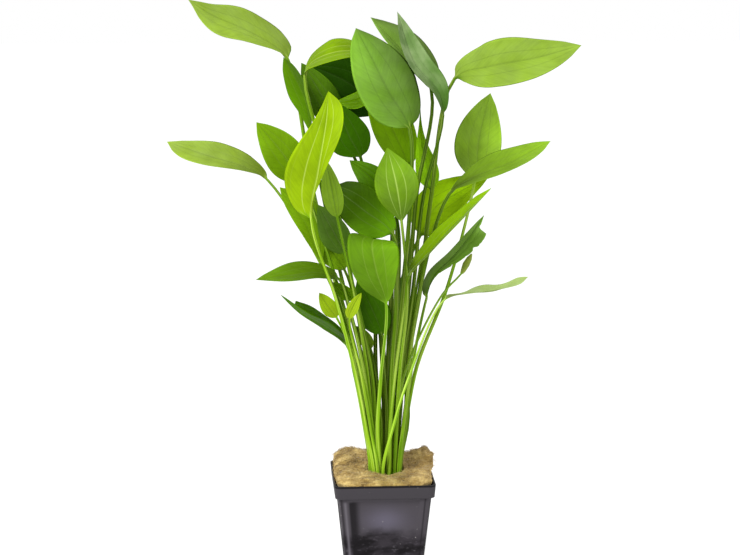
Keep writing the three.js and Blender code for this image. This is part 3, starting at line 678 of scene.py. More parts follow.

# %% [markdown]
# ## The green of the leaves
#
# A fresh leaf has a satin skin, and no two leaves here show the same green: some are lit through, some lie
# in the shade of others, some have a grey sheen. So a leaf brings its own colour, with painted light and shade
# in it, which its tree stores, with how much painted light or shade it gets along and across the blade. The
# finish adds what all share: soft patches, fine side veins, a bright margin, a painted sheen, and long veins
# that are pale on some leaves and dark with painted shade in their grooves on others. The underside has the
# same green without the painted sheen. The stalks are streaked along their length, with painted highlights.
# Seven finishes cover the range, from the bright young leaves to the dark ones in the shade inside.

# %% Leaf finishes
# groove: how much the long veins are darkened, as painted shade in their grooves
TONES = {
    "lime": {"vein": (214, 232, 120), "groove": 0.08},
    "fresh": {"vein": (190, 218, 110), "groove": 0.2},
    "mid": {"vein": (170, 204, 84), "groove": 0.24},
    "grey": {"vein": (176, 198, 124), "groove": 0.28},
    "olive": {"vein": (150, 184, 50), "groove": 0.26},
    "deep": {"vein": (136, 172, 80), "groove": 0.3},
    "darkest": {"vein": (90, 130, 50), "groove": 0.3},
}
PAINTED_SHEEN = colour(170, 188, 138)
STALK_FOOT = colour(118, 150, 28)
STALK_MIDDLE = colour(116, 154, 26)
STALK_TOP = colour(94, 138, 16)
STALK_STREAK = colour(60, 104, 0)
STALK_PAINTED_HIGHLIGHT = colour(176, 194, 92)
VEIN_WIDTH = 0.027
LEAF_GLOSS = 0.1
PATCH_SCALE = 38.0
SHEEN_PATCH_SCALE = 60.0
GRAIN_SCALE = 420.0
SIDE_VEINS_ALONG = 44.0
SIDE_VEINS_SLANT = 12.0
SIDE_VEINS_ACROSS = 2.0
STREAKS_AROUND = 5.0
STREAKS_UP = 3.0
LEAF_RELIEF = 0.28 * MM


def vein_lines(f, reach):
    """1 on the midrib, less on the next arc on each side of it, and least on the outer arc."""
    midrib = f.hill(reach, VEIN_WIDTH * 1.3)
    inner = f.hill(reach - VEIN_STEP, VEIN_WIDTH * 0.7)
    outer = f.hill(reach - 2 * VEIN_STEP, VEIN_WIDTH * 0.5)
    return f.math("MINIMUM", midrib + 0.8 * inner + 0.1 * outer, 1.0)


def leaf_finish(name, vein, groove):
    f = Finish(name, {"IOR": 1.25, "Specular IOR Level": LEAF_GLOSS})
    place = f.place()
    map_place = f.call("ShaderNodeUVMap", {}, uv_map="UVMap")
    along = f.part(map_place, "X")
    reach = f.size(f.part(map_place, "Y") * 2.0 - 1.0)
    veins = vein_lines(f, reach) * f.smooth(along, 0.0, 0.06) * (1.0 - f.smooth(along, 0.86, 0.99))
    patches = f.noise(place, PATCH_SCALE, detail=3.0)
    slanted = along * SIDE_VEINS_ALONG - reach * SIDE_VEINS_SLANT
    ribs = f.noise(f.vector(slanted, reach * SIDE_VEINS_ACROSS, 0.0), 1.0)
    grain = f.noise(place, GRAIN_SCALE)

    # The blade: its own green with painted light and shade, patchy, with painted shade in the vein grooves,
    # a painted sheen and pale veins
    light = f.attribute("light") * (0.88 + 0.24 * f.smooth(patches, 0.3, 0.7))
    light = light * (0.94 + 0.11 * f.smooth(ribs, 0.35, 0.65)) * (1.0 - veins * groove)
    light = light * (1.0 + 0.4 * f.smooth(reach, 0.88, 1.0))
    body = f.call("ShaderNodeAttribute", {}, output="Vector", attribute_name="skin") * light
    sheen_patches = 0.4 + 0.6 * f.smooth(f.noise(place, SHEEN_PATCH_SCALE, detail=4.0), 0.3, 0.7)
    with_painted_sheen = f.tint(f.attribute("painted_sheen") * sheen_patches, body, PAINTED_SHEEN)
    upper = f.tint(f.clamp(veins * f.attribute("veins")), with_painted_sheen, vein)
    below = f.tint(f.clamp(veins * (0.2 + 0.6 * f.attribute("veins"))), body, vein)
    blade = f.tint(f.smooth(f.attribute("upper"), -0.04, 0.04), below, upper)

    # The stalk, with dark streaks and painted highlight streaks along its length, turning towards the blade's
    # green at the top, and with painted light or shade of its own on each stalk
    rise = f.attribute("rise")
    around = f.part(map_place, "Y") * STREAKS_AROUND
    upwards = rise * STREAKS_UP + f.part(place, "Y") * 20.0
    streaks = f.noise(f.vector(around, upwards, f.part(place, "X") * 40.0), 1.0)
    low = f.tint(f.smooth(rise, 0.0, 0.35), STALK_FOOT, STALK_MIDDLE)
    stalk = f.tint(f.smooth(rise, 0.35, 1.0), low, f.tint(0.5, STALK_TOP, body))
    stalk = f.tint(f.smooth(streaks, 0.5, 0.62) * 0.6, stalk, STALK_STREAK)
    # Painted highlight streaks
    stalk = f.tint((1.0 - f.smooth(streaks, 0.36, 0.48)) * 0.5, stalk, STALK_PAINTED_HIGHLIGHT)
    dimmed = {0: stalk, "Scale": f.attribute("stalk_light")}
    lit_stalk = f.call("ShaderNodeVectorMath", dimmed, operation="SCALE")
    whole = f.tint(f.smooth(f.attribute("stem"), 0.0, 1.0), blade, lit_stalk)
    roughness = 0.36 + 0.14 * patches + 0.08 * grain
    relief = veins * -0.6 + ribs * 0.25 + grain * 0.15 + patches * 0.5
    return f.finish(whole, roughness, relief, LEAF_RELIEF)


LEAF_FINISHES = {
    tone: leaf_finish(tone + "_leaf", colour(*look["vein"]), look["groove"]) for tone, look in TONES.items()
}
print(len(LEAF_FINISHES), "leaf finishes")

# %% [markdown]
# ## The leaves
#
# Each leaf is described by its finish and its colour, the green it shows where it stands, with painted shade in
# it on leaves in the shade of others and painted light on leaves that are lit. Then come its painted light and
# shade from neck to tip and from side to side, a painted spot of light or shade, a painted sheen, how much
# painted light or shade its stalk gets, and a few measures: the blade's width, where it is widest, how full or
# pointed it is, how its halves are folded and where its upper side looks. Two have a torn tip. The points
# lead from the neck to the tip, in millimetres. A leaf's stalk is thicker at the foot, and a larger leaf has
# a stouter stalk.

# %% Measures of the leaves
LEAVES = {
    "leaf_top_left": {
        "tone": "fresh", "look": (145, 177, 45), "tip": 0.3, "slant": -0.2, "veins": 0, "painted_sheen": 0.1,
        "stalk": 1.1,
        "width": 46, "face": (0.4, -0.62, 0.68), "fold": 8, "widest": 0.48, "lean": -0.16, "wave": 0.08,
        "blade": [(-81, 49, 462), (-92, 46, 474), (-121, 37, 491), (-147, 29, 503), (-168, 22, 517)],
    },
    "leaf_under_top_left": {
        "tone": "mid", "look": (85, 130, 0), "slant": -0.5, "stalk": 0.8,
        "width": 30, "face": (-0.75, -0.45, 0.1), "fold": 14, "widest": 0.58,
        "blade": [(-61, 30, 397), (-67, 35, 430), (-85, 47, 465)],
    },
    "leaf_arching_left": {
        "tone": "lime", "look": (130, 168, 5), "veins": 0.25, "stalk": 1,
        "width": 40, "face": (-0.2, -0.38, 0.9), "fold": 6,
        "blade": [(-67, 18, 450), (-62, 13, 462), (-45, 6, 471), (-26, 8, 473), (-6, 16, 467), (11, 33, 454)],
    },
    "leaf_tallest": {
        "tone": "fresh", "look": (100, 145, 30), "tip": 0.2, "slant": -0.9, "veins": 0, "painted_sheen": 0.08,
        "painted_light_spot": (0.6, -0.4, 0.3), "stalk": 0.65,
        "width": 54, "face": (0.25, -1, 0.2), "fold": 6,
        "blade": [(22, -21, 408), (4, -24, 440), (-12, -15, 472), (-23, 3, 493)],
    },
    "leaf_top_folded": {
        "tone": "mid", "look": (115, 158, 40), "slant": -1.2, "painted_sheen": 0.1, "stalk": 0.55,
        "width": 44, "face": (0.8, -0.7, 0.2), "fold": 20,
        "blade": [(43, 5, 439), (21, 13, 470), (-9, 25, 501)],
    },
    "leaf_top_grey": {
        "tone": "grey", "look": (66, 114, 10), "slant": 0.6, "veins": 0, "painted_sheen": 0.46, "painted_sheen_tip": 1,
        "stalk": 0.55,
        "width": 34, "face": (0.85, -0.7, 0.3), "fold": 16, "widest": 0.45,
        "blade": [(52, -9, 418), (47, -12, 440), (27, -10, 464), (13, 5, 507)],
    },
    "leaf_right_high": {
        "tone": "fresh", "look": (140, 174, 45), "veins": 0, "painted_sheen": 0.08, "painted_light_spot": (0.9, 0, 0.2),
        "stalk": 0.65,
        "width": 46, "face": (-0.15, -0.85, 0.55), "fold": 6,
        "blade": [(63, 0, 449), (93, -6, 460), (133, -4, 467), (175, 7, 477)],
    },
    "leaf_right_upright": {
        "tone": "mid", "look": (138, 180, 36), "slant": 0.3, "painted_sheen": 0.06, "painted_light_spot": (0.5, 0.8, 0.25),
        "stalk": 1,
        "width": 42, "face": (-0.1, -1, 0.2), "fold": 8, "stout": 0.85,
        "blade": [(86, 39, 355), (89, 39, 391), (100, 46, 432)],
    },
    "leaf_front_bright": {
        "tone": "lime", "look": (152, 188, 12), "veins": 0.35, "stalk": 1.3,
        "width": 56, "face": (-0.62, -0.78, 0.1), "fold": 30, "widest": 0.5, "lean": 0.2, "full": 1.2,
        "twist": 30, "stout": 0.75,
        "blade": [(-64, -48, 333), (-58, -57, 376), (-51, -55, 420), (-49, -45, 443)],
    },
    "leaf_right_pointing": {
        "tone": "mid", "look": (125, 164, 36), "tip": 0.9, "painted_light_spot": (0.2, 0.2, -0.3), "stalk": 0.75,
        "width": 38, "face": (-0.15, -0.38, 0.9), "fold": 10, "widest": 0.55,
        "blade": [(58, -6, 348), (78, -13, 364), (111, -13, 377), (148, -1, 394)],
    },
    "leaf_right_broad": {
        "tone": "olive", "look": (148, 192, 8), "painted_light_spot": (0.6, -0.2, 0.9), "stalk": 0.6,
        "width": 38, "face": (0, -1, 0.2), "fold": 4, "widest": 0.3, "lean": -0.06,
        "blade": [(37, 42, 304), (50, 45, 328), (72, 48, 342), (101, 58, 355)],
    },
    "leaf_right_narrow": {
        "tone": "lime", "look": (130, 172, 6), "tip": 0.9, "veins": 0.1, "stalk": 1.05,
        "width": 36, "face": (-0.8, -0.05, 0.6), "fold": 16, "widest": 0.38, "full": 0.45, "stout": 0.8,
        "blade": [(20, -41, 282), (39, -48, 306), (66, -48, 334), (92, -36, 358)],
    },
    "leaf_centre_veined": {
        "tone": "fresh", "look": (112, 156, 5), "tip": 0.5, "veins": 0.45, "painted_sheen": 0.05, "stalk": 1,
        "width": 38, "face": (0.05, -1, 0.2), "fold": 6, "widest": 0.5, "full": 1.1, "stout": 0.85,
        "blade": [(14, -39, 329), (9, -47, 362), (2, -32, 393)],
    },
    "leaf_behind_tallest": {
        "tone": "olive", "look": (118, 164, 5), "slant": 0.3, "stalk": 0.6,
        "width": 38, "face": (0.3, -1, 0), "fold": 8,
        "blade": [(25, 26, 368), (9, 30, 407), (-10, 39, 454)],
    },
    "leaf_twisted": {
        "tone": "mid", "look": (155, 215, 20), "painted_light_spot": (0.4, -0.6, 0.4), "stalk": 0.7,
        "width": 21, "face": (-0.3, -1, 0), "fold": 16, "widest": 0.22, "full": 2.1, "stout": 0.8,
        "blade": [(44, 15, 349), (41, 16, 369), (36, 18, 393), (35, 26, 425)],
    },
    "leaf_left_middle": {
        "tone": "mid", "look": (115, 158, 10), "tip": 0.2, "stalk": 1.15,
        "width": 34, "face": (-0.2, -1, 0.3), "fold": 8, "stout": 0.9,
        "blade": [(-72, -18, 362), (-88, -23, 388), (-110, -17, 414)],
    },
    "leaf_far_left": {
        "tone": "fresh", "look": (142, 172, 42), "tip": 0.6, "painted_sheen": 0.12, "painted_sheen_tip": 1, "stalk": 1.25,
        "width": 34, "face": (-0.2, -0.5, 0.85), "fold": 8, "widest": 0.54, "lean": -0.1, "stout": 0.85,
        "blade": [(-100, 14, 359), (-119, 12, 371), (-153, 15, 382), (-189, 32, 392)],
    },
    "leaf_left_hidden": {
        "tone": "mid", "look": (122, 168, 10),
        "width": 26, "face": (-0.2, -1, 0.2), "fold": 8, "widest": 0.55, "stout": 0.8,
        "blade": [(-53, 4, 287), (-64, 1, 327), (-90, 7, 354)],
    },
    "leaf_left_low": {
        "tone": "mid", "look": (98, 138, 15), "tip": 0.5, "stalk": 1.2,
        "width": 34, "face": (0, -0.33, 0.94), "fold": 8, "stout": 0.9,
        "blade": [(-39, -20, 276), (-59, -23, 283), (-84, -31, 282), (-112, -39, 280)],
    },
    "leaf_left_folded": {
        "tone": "mid", "look": (82, 134, 0), "tip": 0.8, "slant": 0.5, "veins": 0, "stalk": 1.2,
        "width": 36, "face": (0.1, -0.2, 0.97), "fold": 26, "widest": 0.35, "stout": 1.1,
        "tear": (0.75, 1, 0.6),
        "blade": [(-32, -8, 215), (-54, -15, 233), (-74, -25, 248), (-91, -34, 266)],
    },
    "leaf_small_upright": {
        "tone": "lime", "look": (152, 186, 20), "stalk": 1.2,
        "width": 14, "face": (0, -1, 0), "fold": 10,
        "blade": [(-42, -30, 244), (-50, -31, 256), (-57, -28, 266)],
    },
    "leaf_spoon": {
        "tone": "lime", "look": (166, 198, 30), "stalk": 1.2,
        "width": 10, "face": (0.1, -1, 0.3), "fold": 14,
        "blade": [(-31, -36, 244), (-27, -42, 258), (-21, -45, 269)],
    },
    "leaf_small_dark": {
        "tone": "deep", "look": (115, 168, 5), "stalk": 0.6,
        "width": 12, "face": (-0.3, -1, 0.3), "fold": 10,
        "blade": [(-27, -10, 255), (-35, -13, 264), (-44, -11, 272)],
    },
    "leaf_dark_centre": {
        "tone": "deep", "look": (62, 110, 0), "stalk": 0.5,
        "width": 29, "face": (0, -1, 0.1), "fold": 8,
        "blade": [(0, 2, 221), (-10, 1, 247), (-22, 7, 271)],
    },
    "leaf_dark_low": {
        "tone": "deep", "look": (115, 150, 30), "stalk": 0.6,
        "width": 12, "face": (-0.2, -1, 0.2), "fold": 8,
        "blade": [(-10, 4, 208), (-16, 4, 219), (-24, 7, 229)],
    },
    "leaf_centre_front": {
        "tone": "mid", "look": (106, 155, 10), "slant": 0.5, "veins": 0.2, "painted_sheen": 0.02, "painted_sheen_tip": -1,
        "stalk": 1.2,
        "width": 44, "face": (0.15, -1, 0.2), "fold": 6, "widest": 0.48, "full": 1, "stout": 0.85,
        "blade": [(0, -50, 259), (-9, -60, 290), (-13, -61, 311), (-10, -41, 315), (-7, -16, 305)],
    },
    "leaf_dark_upper": {
        "tone": "deep", "look": (62, 112, 0), "slant": -0.2, "stalk": 0.5,
        "width": 38, "face": (-0.2, -1, -0.1), "fold": 8,
        "blade": [(-18, 23, 378), (-28, 20, 397), (-40, 20, 427)],
    },
    "leaf_dark_middle": {
        "tone": "deep", "look": (84, 132, 2), "stalk": 0.5,
        "width": 27, "face": (-0.2, -1, 0.2), "fold": 6,
        "blade": [(12, 5, 330), (-7, 4, 359), (-28, 18, 376)],
    },
    "leaf_mottled": {
        "tone": "deep", "look": (92, 140, 10), "tip": -1.7, "veins": 0.25, "stalk": 0.6,
        "width": 39, "face": (0, -1, 0.22), "fold": 6, "widest": 0.47, "lean": 0.06, "full": 0.6,
        "stout": 1.2,
        "blade": [(8, -17, 315), (-17, -15, 336), (-44, 2, 355)],
    },
    "leaf_pale_narrow": {
        "tone": "grey", "look": (142, 184, 35), "painted_sheen": 0.05, "stalk": 1.1,
        "width": 18, "face": (-0.2, -1, 0.2), "fold": 10,
        "blade": [(-41, -28, 332), (-46, -33, 357), (-51, -31, 383)],
    },
    "leaf_shaded_left": {
        "tone": "grey", "look": (84, 126, 18), "slant": 0.2, "painted_sheen": 0.05, "stalk": 0.9,
        "width": 26, "face": (-0.2, -1, 0.1), "fold": 8,
        "blade": [(-34, -12, 297), (-44, -15, 318), (-57, -11, 341)],
    },
    "leaf_darkest": {
        "tone": "darkest", "look": (140, 190, 20), "stalk": 0.5,
        "width": 24, "face": (-0.2, -1, 0.1), "fold": 8,
        "blade": [(-33, 8, 279), (-48, 12, 301), (-63, 21, 321)],
    },
    "leaf_right_twisted": {
        "tone": "deep", "look": (98, 144, 18), "tip": 1, "slant": 0.8, "painted_sheen": 0.16, "painted_sheen_tip": 1,
        "painted_light_spot": (0.85, -0.3, 0.4), "stalk": 1,
        "width": 24, "face": (0.5, -0.75, 0.3), "fold": 38, "widest": 0.55, "lean": 0.2,
        "tear": (0.83, 1, 0.7), "ragged": 0.2,
        "blade": [(38, -14, 257), (44, -19, 278), (61, -20, 296), (75, -15, 312), (90, -1, 329)],
    },
    "leaf_right_low": {
        "tone": "fresh", "look": (165, 190, 100), "tip": 0.3, "painted_sheen": 0.3, "stalk": 1.5,
        "width": 24, "face": (-0.2, 0.02, 1), "fold": 6, "widest": 0.46, "full": 0.5, "twist": 34,
        "wave": 0.16, "stout": 0.75,
        "blade": [(50, -59, 265), (69, -66, 272), (92, -72, 275), (120, -71, 286)],
    },
    "leaf_under_arch": {
        "tone": "darkest", "look": (38, 78, 0), "stalk": 0.5,
        "width": 54, "face": (0.1, -1, -0.2), "fold": 8,
        "blade": [(2, 62, 412), (-25, 68, 439), (-59, 74, 455)],
    },
    "leaf_back_left": {
        "tone": "grey", "look": (92, 136, 20), "stalk": 0.5,
        "width": 30, "face": (-0.2, -1, 0), "fold": 8,
        "blade": [(-38, 52, 403), (-51, 53, 430), (-69, 58, 459)],
    },
    "leaf_lit_edge": {
        "tone": "lime", "look": (170, 235, 0), "stalk": 0.6,
        "width": 28, "face": (0, -0.6, -0.75), "fold": 6,
        "blade": [(-1, 48, 435), (-21, 45, 428), (-41, 41, 424)],
    },
}
USUAL_SHAPE = {
    "widest": 0.4, "lean": 0, "full": 0.85, "twist": 0, "wave": 0.04,
    "stout": 1, "tear": (1, 1, 0), "ragged": 0,
}
# Usual painted light and shade, painted sheen and veins of a leaf
USUAL_PAINT = {
    "tip": 0, "slant": 0, "veins": 0.1, "painted_sheen": 0, "painted_sheen_tip": 0, "painted_light_spot": (0.5, 0, 0), "stalk": 1,
}
SKIN_SHARE = 0.62
print(len(LEAVES), "leaves are described")

# %% Growing the leaves
STALK_RADIUS_LOW = 2.5
STALK_RADIUS_NECK = 1.4
NARROW_STOUTNESS = 0.55
WIDTH_PER_STOUTNESS = 90
LEAST_STOUTNESS = 0.6
MOST_STOUTNESS = 1.1


def stalk_radius(width, stout, neck_height, height):
    """The radius at a height, thicker for a wider leaf and thinnest from the neck up."""
    stoutness = NARROW_STOUTNESS + width / WIDTH_PER_STOUTNESS
    size = stout * min(max(stoutness, LEAST_STOUTNESS), MOST_STOUTNESS)
    rise = min(max((height - STALK_LEVELS[0]) / (neck_height - STALK_LEVELS[0]), 0), 1)
    return size * (STALK_RADIUS_LOW + (STALK_RADIUS_NECK - STALK_RADIUS_LOW) * rise)


def grow_leaf(name, leaf):
    leaf = {**USUAL_SHAPE, **USUAL_PAINT, **leaf}
    neck_height = leaf["blade"][0][2]

    def radius_at(height, along):
        return stalk_radius(leaf["width"], leaf["stout"], neck_height, height if along == 0 else neck_height)

    line, neck = leaf_line(name, leaf["blade"], leaf["face"], radius_at)
    values = {
        "Width": leaf["width"] * MM,
        "Widest": float(leaf["widest"]),
        "Lean": float(leaf["lean"]),
        "Fullness": float(leaf["full"]),
        "Fold": math.radians(leaf["fold"]),
        "Twist": math.radians(leaf["twist"]),
        "Wave": float(leaf["wave"]),
        "Tear": [float(value) for value in leaf["tear"]],
        "Ragged": float(leaf["ragged"]),
        "Neck": float(neck),
        "Skin": [level * SKIN_SHARE for level in colour(*leaf["look"])[:3]],
        "Tip": float(leaf["tip"]),
        "Slant": float(leaf["slant"]),
        "Veins": float(leaf["veins"]),
        "Painted Sheen": float(leaf["painted_sheen"]),
        "Painted Sheen Tip": float(leaf["painted_sheen_tip"]),
        "Painted Light Spot": [float(level) for level in leaf["painted_light_spot"]],
        "Stalk Light": float(leaf["stalk"]),
    }
    piece = grow("green_" + name, line, LEAF_TREE, values, LEAF_FINISHES[leaf["tone"]])
    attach(piece, "root")
    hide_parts(name)
    leaf["tone"] + "_leaf"
    return piece


leaves = [grow_leaf(name, leaf) for name, leaf in LEAVES.items()]
print("the leaves have", sum(triangles(leaf) for leaf in leaves), "triangles")

# %% [markdown]
# ## The flower stalk
#
# One thin stalk on the right ends in a small closed bud, olive green and pointed. It grows by the same recipe
# as the leaves. With the flatness at 0 a ring stays round all the way, so the radius alone makes the bud: it
# swells past the neck and shrinks to a point.

# %% Flower stalk
FLOWER_WIDTH = 5
FLOWER_BUD = [(68, -20, 280), (72, -20, 288), (77, -22, 298)]
FLOWER_FACE = (0, -1, 0.2)
BUD_STATIONS = [0, 0.15, 0.45, 0.75, 0.93, 1]
BUD_RADII = [1.2, 2.2, 3.1, 2.4, 1.1, 0.5]
BUD_GREEN = colour(130, 144, 42)
BUD_OLIVE = colour(104, 124, 28)
BUD_SEAM = colour(74, 84, 18)
BUD_LEAFLETS = 3


def flower_finish():
    f = Finish("olive_bud", {"IOR": 1.4, "Specular IOR Level": 0.35})
    place = f.place()
    map_place = f.call("ShaderNodeUVMap", {}, uv_map="UVMap")
    leaflets = f.size(f.sin(f.part(map_place, "Y") * BUD_LEAFLETS * math.pi))
    patches = f.noise(place, 140.0, detail=3.0)
    bud = f.tint(f.smooth(patches, 0.35, 0.7), BUD_GREEN, BUD_OLIVE)
    bud = f.tint(f.smooth(leaflets, 0.25, 0.0) * 0.7, bud, BUD_SEAM)
    stalk = f.tint(f.smooth(f.attribute("rise"), 0.0, 0.9), STALK_FOOT, STALK_MIDDLE)
    whole = f.tint(f.smooth(f.part(map_place, "X"), 0.02, 0.12), stalk, bud)
    return f.finish(whole, 0.42 + 0.15 * patches, patches * 0.6 + leaflets * 0.4, 0.25 * MM)


def grow_flower():
    def radius_at(height, along):
        if along == 0:
            return stalk_radius(FLOWER_WIDTH, 1, FLOWER_BUD[0][2], height)
        return float(np.interp(along, BUD_STATIONS, BUD_RADII))

    line, neck = leaf_line("flower_stalk", FLOWER_BUD, FLOWER_FACE, radius_at)
    values = {"Flatness": 0.0, "Neck": float(neck), "Width": FLOWER_WIDTH * MM}
    values |= {"Quilting": 0.0, "Crumple": 0.0}
    piece = grow("flower_and_bud", line, LEAF_TREE, values, flower_finish())
    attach(piece, "root")
    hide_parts("flower_stalk")
    return piece


print("the flower stalk has", triangles(grow_flower()), "triangles")

# %% [markdown]
# ## The pot
#
# A square nursery pot is moulded in one thin wall: it tapers downwards, has rounded corners, a collar at the
# top that steps out, and a shallow panel sunk into each side between corner posts. Such a shape is a stack of
# level rings, each a rounded square with its own size and panel depth. The rings run up the outside, over the
# rounded rim and down the inside, so the wall has its thickness from the start. Drain holes are cut last.

# %% Pot sizes
pot_low, pot_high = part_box("pot")
RIM = (pot_high.x - pot_low.x) / 2
POT_HEIGHT = pot_high.z
BASE = 33 * MM
WALL = 1.6 * MM
POT_FLOOR = 2.4 * MM
COLLAR_HEIGHT = 12 * MM
COLLAR_STEP = 2.2 * MM
RIM_DRAFT = 0.9 * MM
CORNER_RADIUS = 5.5 * MM
CORNER_STEPS = 5
FOOT_ROUNDING = 1.5 * MM
RIM_ROUNDING = 0.5 * MM
PANEL_DEPTH = 1.6 * MM
PANEL_MARGIN = 9 * MM
PANEL_BEVEL = 3.5 * MM
PANEL_LOWEST = 5 * MM
PANEL_BELOW_COLLAR = 4 * MM
RAMP_SHARES = (0.3, 0.7, 1)
FLAT_SHARES = (0.25, 0.5, 0.75, 1)
HOLE_RADIUS = 3.5 * MM
HOLE_MARGIN = 10 * MM
HOLE_SIDES = 24
print("the rim is", round(2 * RIM / MM), "mm wide and", round(POT_HEIGHT / MM), "mm up")


# %% Rings of the pot
def eased(share):
    """A share of a slope's depth that starts and ends gently."""
    return share * share * (3 - 2 * share)


def pot_side(half, inset):
    """One side of a ring as (along, outward), from the middle of its first corner to that of the next."""
    flat = half - CORNER_RADIUS
    post = half - PANEL_MARGIN
    turns = [math.pi / 4 * (1 - step / CORNER_STEPS) for step in range(CORNER_STEPS + 1)]
    corner = [(flat + CORNER_RADIUS * math.sin(t), flat + CORNER_RADIUS * math.cos(t)) for t in turns]
    first = [(-along, outward) for along, outward in corner]
    last = [(along, outward) for along, outward in reversed(corner)][:-1]
    slope = [(PANEL_BEVEL * share, inset * eased(share)) for share in (0, *RAMP_SHARES)]
    enter = [(-post + along, half - depth) for along, depth in slope]
    leave = [(post - along, half - depth) for along, depth in reversed(slope)]
    return first + enter + leave + last


def pot_ring(half, z, inset=0.0):
    """A level ring of four sides, each turned a quarter further."""
    points = []
    for c, s in ((1, 0), (0, 1), (-1, 0), (0, -1)):
        for along, outward in pot_side(half, inset):
            points.append((-c * along - s * outward, -s * along + c * outward, z))
    return points


def body_half(z):
    """Half the width of the tapered body at a height."""
    return BASE + (RIM - COLLAR_STEP - BASE) * z / POT_HEIGHT


def arc(half, z, radius, start, end, steps=4):
    """Rings on a quarter round about a centre line, turning from one angle to another."""
    turns = [start + (end - start) * step / steps for step in range(steps + 1)]
    return [pot_ring(half + radius * math.cos(t), z + radius * math.sin(t)) for t in turns]


def pot_rings():
    quarter = math.pi / 2
    collar = POT_HEIGHT - COLLAR_HEIGHT
    panel_top = collar - PANEL_BELOW_COLLAR
    ramp = 2 * PANEL_DEPTH
    rings = arc(body_half(0) - FOOT_ROUNDING, FOOT_ROUNDING, FOOT_ROUNDING, -quarter, 0)
    rings += [pot_ring(body_half(PANEL_LOWEST), PANEL_LOWEST)]
    for share in RAMP_SHARES:
        z = PANEL_LOWEST + ramp * share
        rings += [pot_ring(body_half(z), z, PANEL_DEPTH * eased(share))]
    for share in FLAT_SHARES:
        z = PANEL_LOWEST + ramp + (panel_top - PANEL_LOWEST - ramp) * share
        rings += [pot_ring(body_half(z), z, PANEL_DEPTH)]
    for share in RAMP_SHARES:
        z = panel_top + ramp * share
        rings += [pot_ring(body_half(z), z, PANEL_DEPTH * (1 - eased(share)))]
    rings += [pot_ring(body_half(collar), collar)]
    rings += arc(RIM - RIM_DRAFT - RIM_ROUNDING, collar + RIM_ROUNDING, RIM_ROUNDING, -quarter, 0)
    rings += arc(RIM - RIM_ROUNDING, POT_HEIGHT - RIM_ROUNDING, RIM_ROUNDING, 0, quarter)
    rings += arc(RIM - WALL + RIM_ROUNDING, POT_HEIGHT - RIM_ROUNDING, RIM_ROUNDING, quarter, 2 * quarter)
    rings += [pot_ring(body_half(collar + WALL) - WALL, collar + WALL)]
    rings += [pot_ring(body_half(panel_top) - WALL, panel_top, PANEL_DEPTH)]
    rings += [pot_ring(body_half(PANEL_LOWEST + ramp) - WALL, PANEL_LOWEST + ramp, PANEL_DEPTH)]
    return rings + [pot_ring(body_half(POT_FLOOR) - WALL, POT_FLOOR)]


print("the pot is a stack of", len(pot_rings()), "rings")


# %% Pot mesh
SAME_POINT = 0.001 * MM


def closed_stack(name, rings):
    """A closed mesh from rings of equally many points, with a fan over each end."""
    size = len(rings[0])
    points = [point for ring in rings for point in ring]
    points += [tuple(np.mean(rings[0], axis=0)), tuple(np.mean(rings[-1], axis=0))]
    last = (len(rings) - 1) * size
    faces = []
    for i in range(size):
        j = (i + 1) % size
        faces += [(len(points) - 2, j, i), (len(points) - 1, last + i, last + j)]
        faces += [(k + i, k + j, k + size + j, k + size + i) for k in range(0, last, size)]
    mesh = bpy.data.meshes.new(name)
    mesh.from_pydata(points, [], faces)
    return mesh


def outward(mesh):
    """Merges a closed mesh's doubled points and turns all its faces outwards."""
    work = bmesh.new()
    work.from_mesh(mesh)
    bmesh.ops.remove_doubles(work, verts=work.verts, dist=SAME_POINT)
    bmesh.ops.recalc_face_normals(work, faces=work.faces)
    work.to_mesh(mesh)
    work.free()


def drill(mesh):
    """Cuts the eight drain holes through the floor of the pot."""
    pot = bpy.data.objects.new("drilled_pot", mesh)
    bpy.context.scene.collection.objects.link(pot)
    work = bmesh.new()
    reach = BASE - HOLE_MARGIN
    drill_size = {"radius1": HOLE_RADIUS, "radius2": HOLE_RADIUS, "depth": 4 * POT_FLOOR}
    for x in (-reach, 0, reach):
        for y in (-reach, 0, reach):
            if x or y:
                hole = bmesh.ops.create_cone(work, cap_ends=True, segments=HOLE_SIDES, **drill_size)
                bmesh.ops.translate(work, verts=hole["verts"], vec=(x, y, POT_FLOOR / 2))
    cutter_mesh = bpy.data.meshes.new("drill")
    work.to_mesh(cutter_mesh)
    work.free()
    cutter = bpy.data.objects.new("drill", cutter_mesh)
    bpy.context.scene.collection.objects.link(cutter)
    cut = pot.modifiers.new("drain_holes", "BOOLEAN")
    cut.object = cutter
    cut.operation = "DIFFERENCE"
    cut.solver = "EXACT"
    graph = bpy.context.evaluated_depsgraph_get()
    drilled = bpy.data.meshes.new_from_object(pot.evaluated_get(graph), depsgraph=graph)
    pot.modifiers.clear()
    outward(drilled)
    pot.data = drilled
    bpy.data.objects.remove(cutter)
    return pot


pot_mesh = closed_stack("square_pot", pot_rings())
outward(pot_mesh)
pot = drill(pot_mesh)
pot.name = "square_pot"
print("the pot has", triangles(pot), "triangles")

# %% [markdown]
# ## Dark plastic that has been in use
#
# The pot is thin black plastic with a gloss. Its grey is painted reflection of the white surroundings, with a
# painted shine in the middle of each side. The slope of the panel beside a post has a painted shadow, and a
# painted highlight line and painted shade lines run down the posts. The lower half is nearly black, blotched,
# with smudges of dried mud and small pale specks, and the rim is dark too. All this follows the height, the
# place along a side and a few noises.

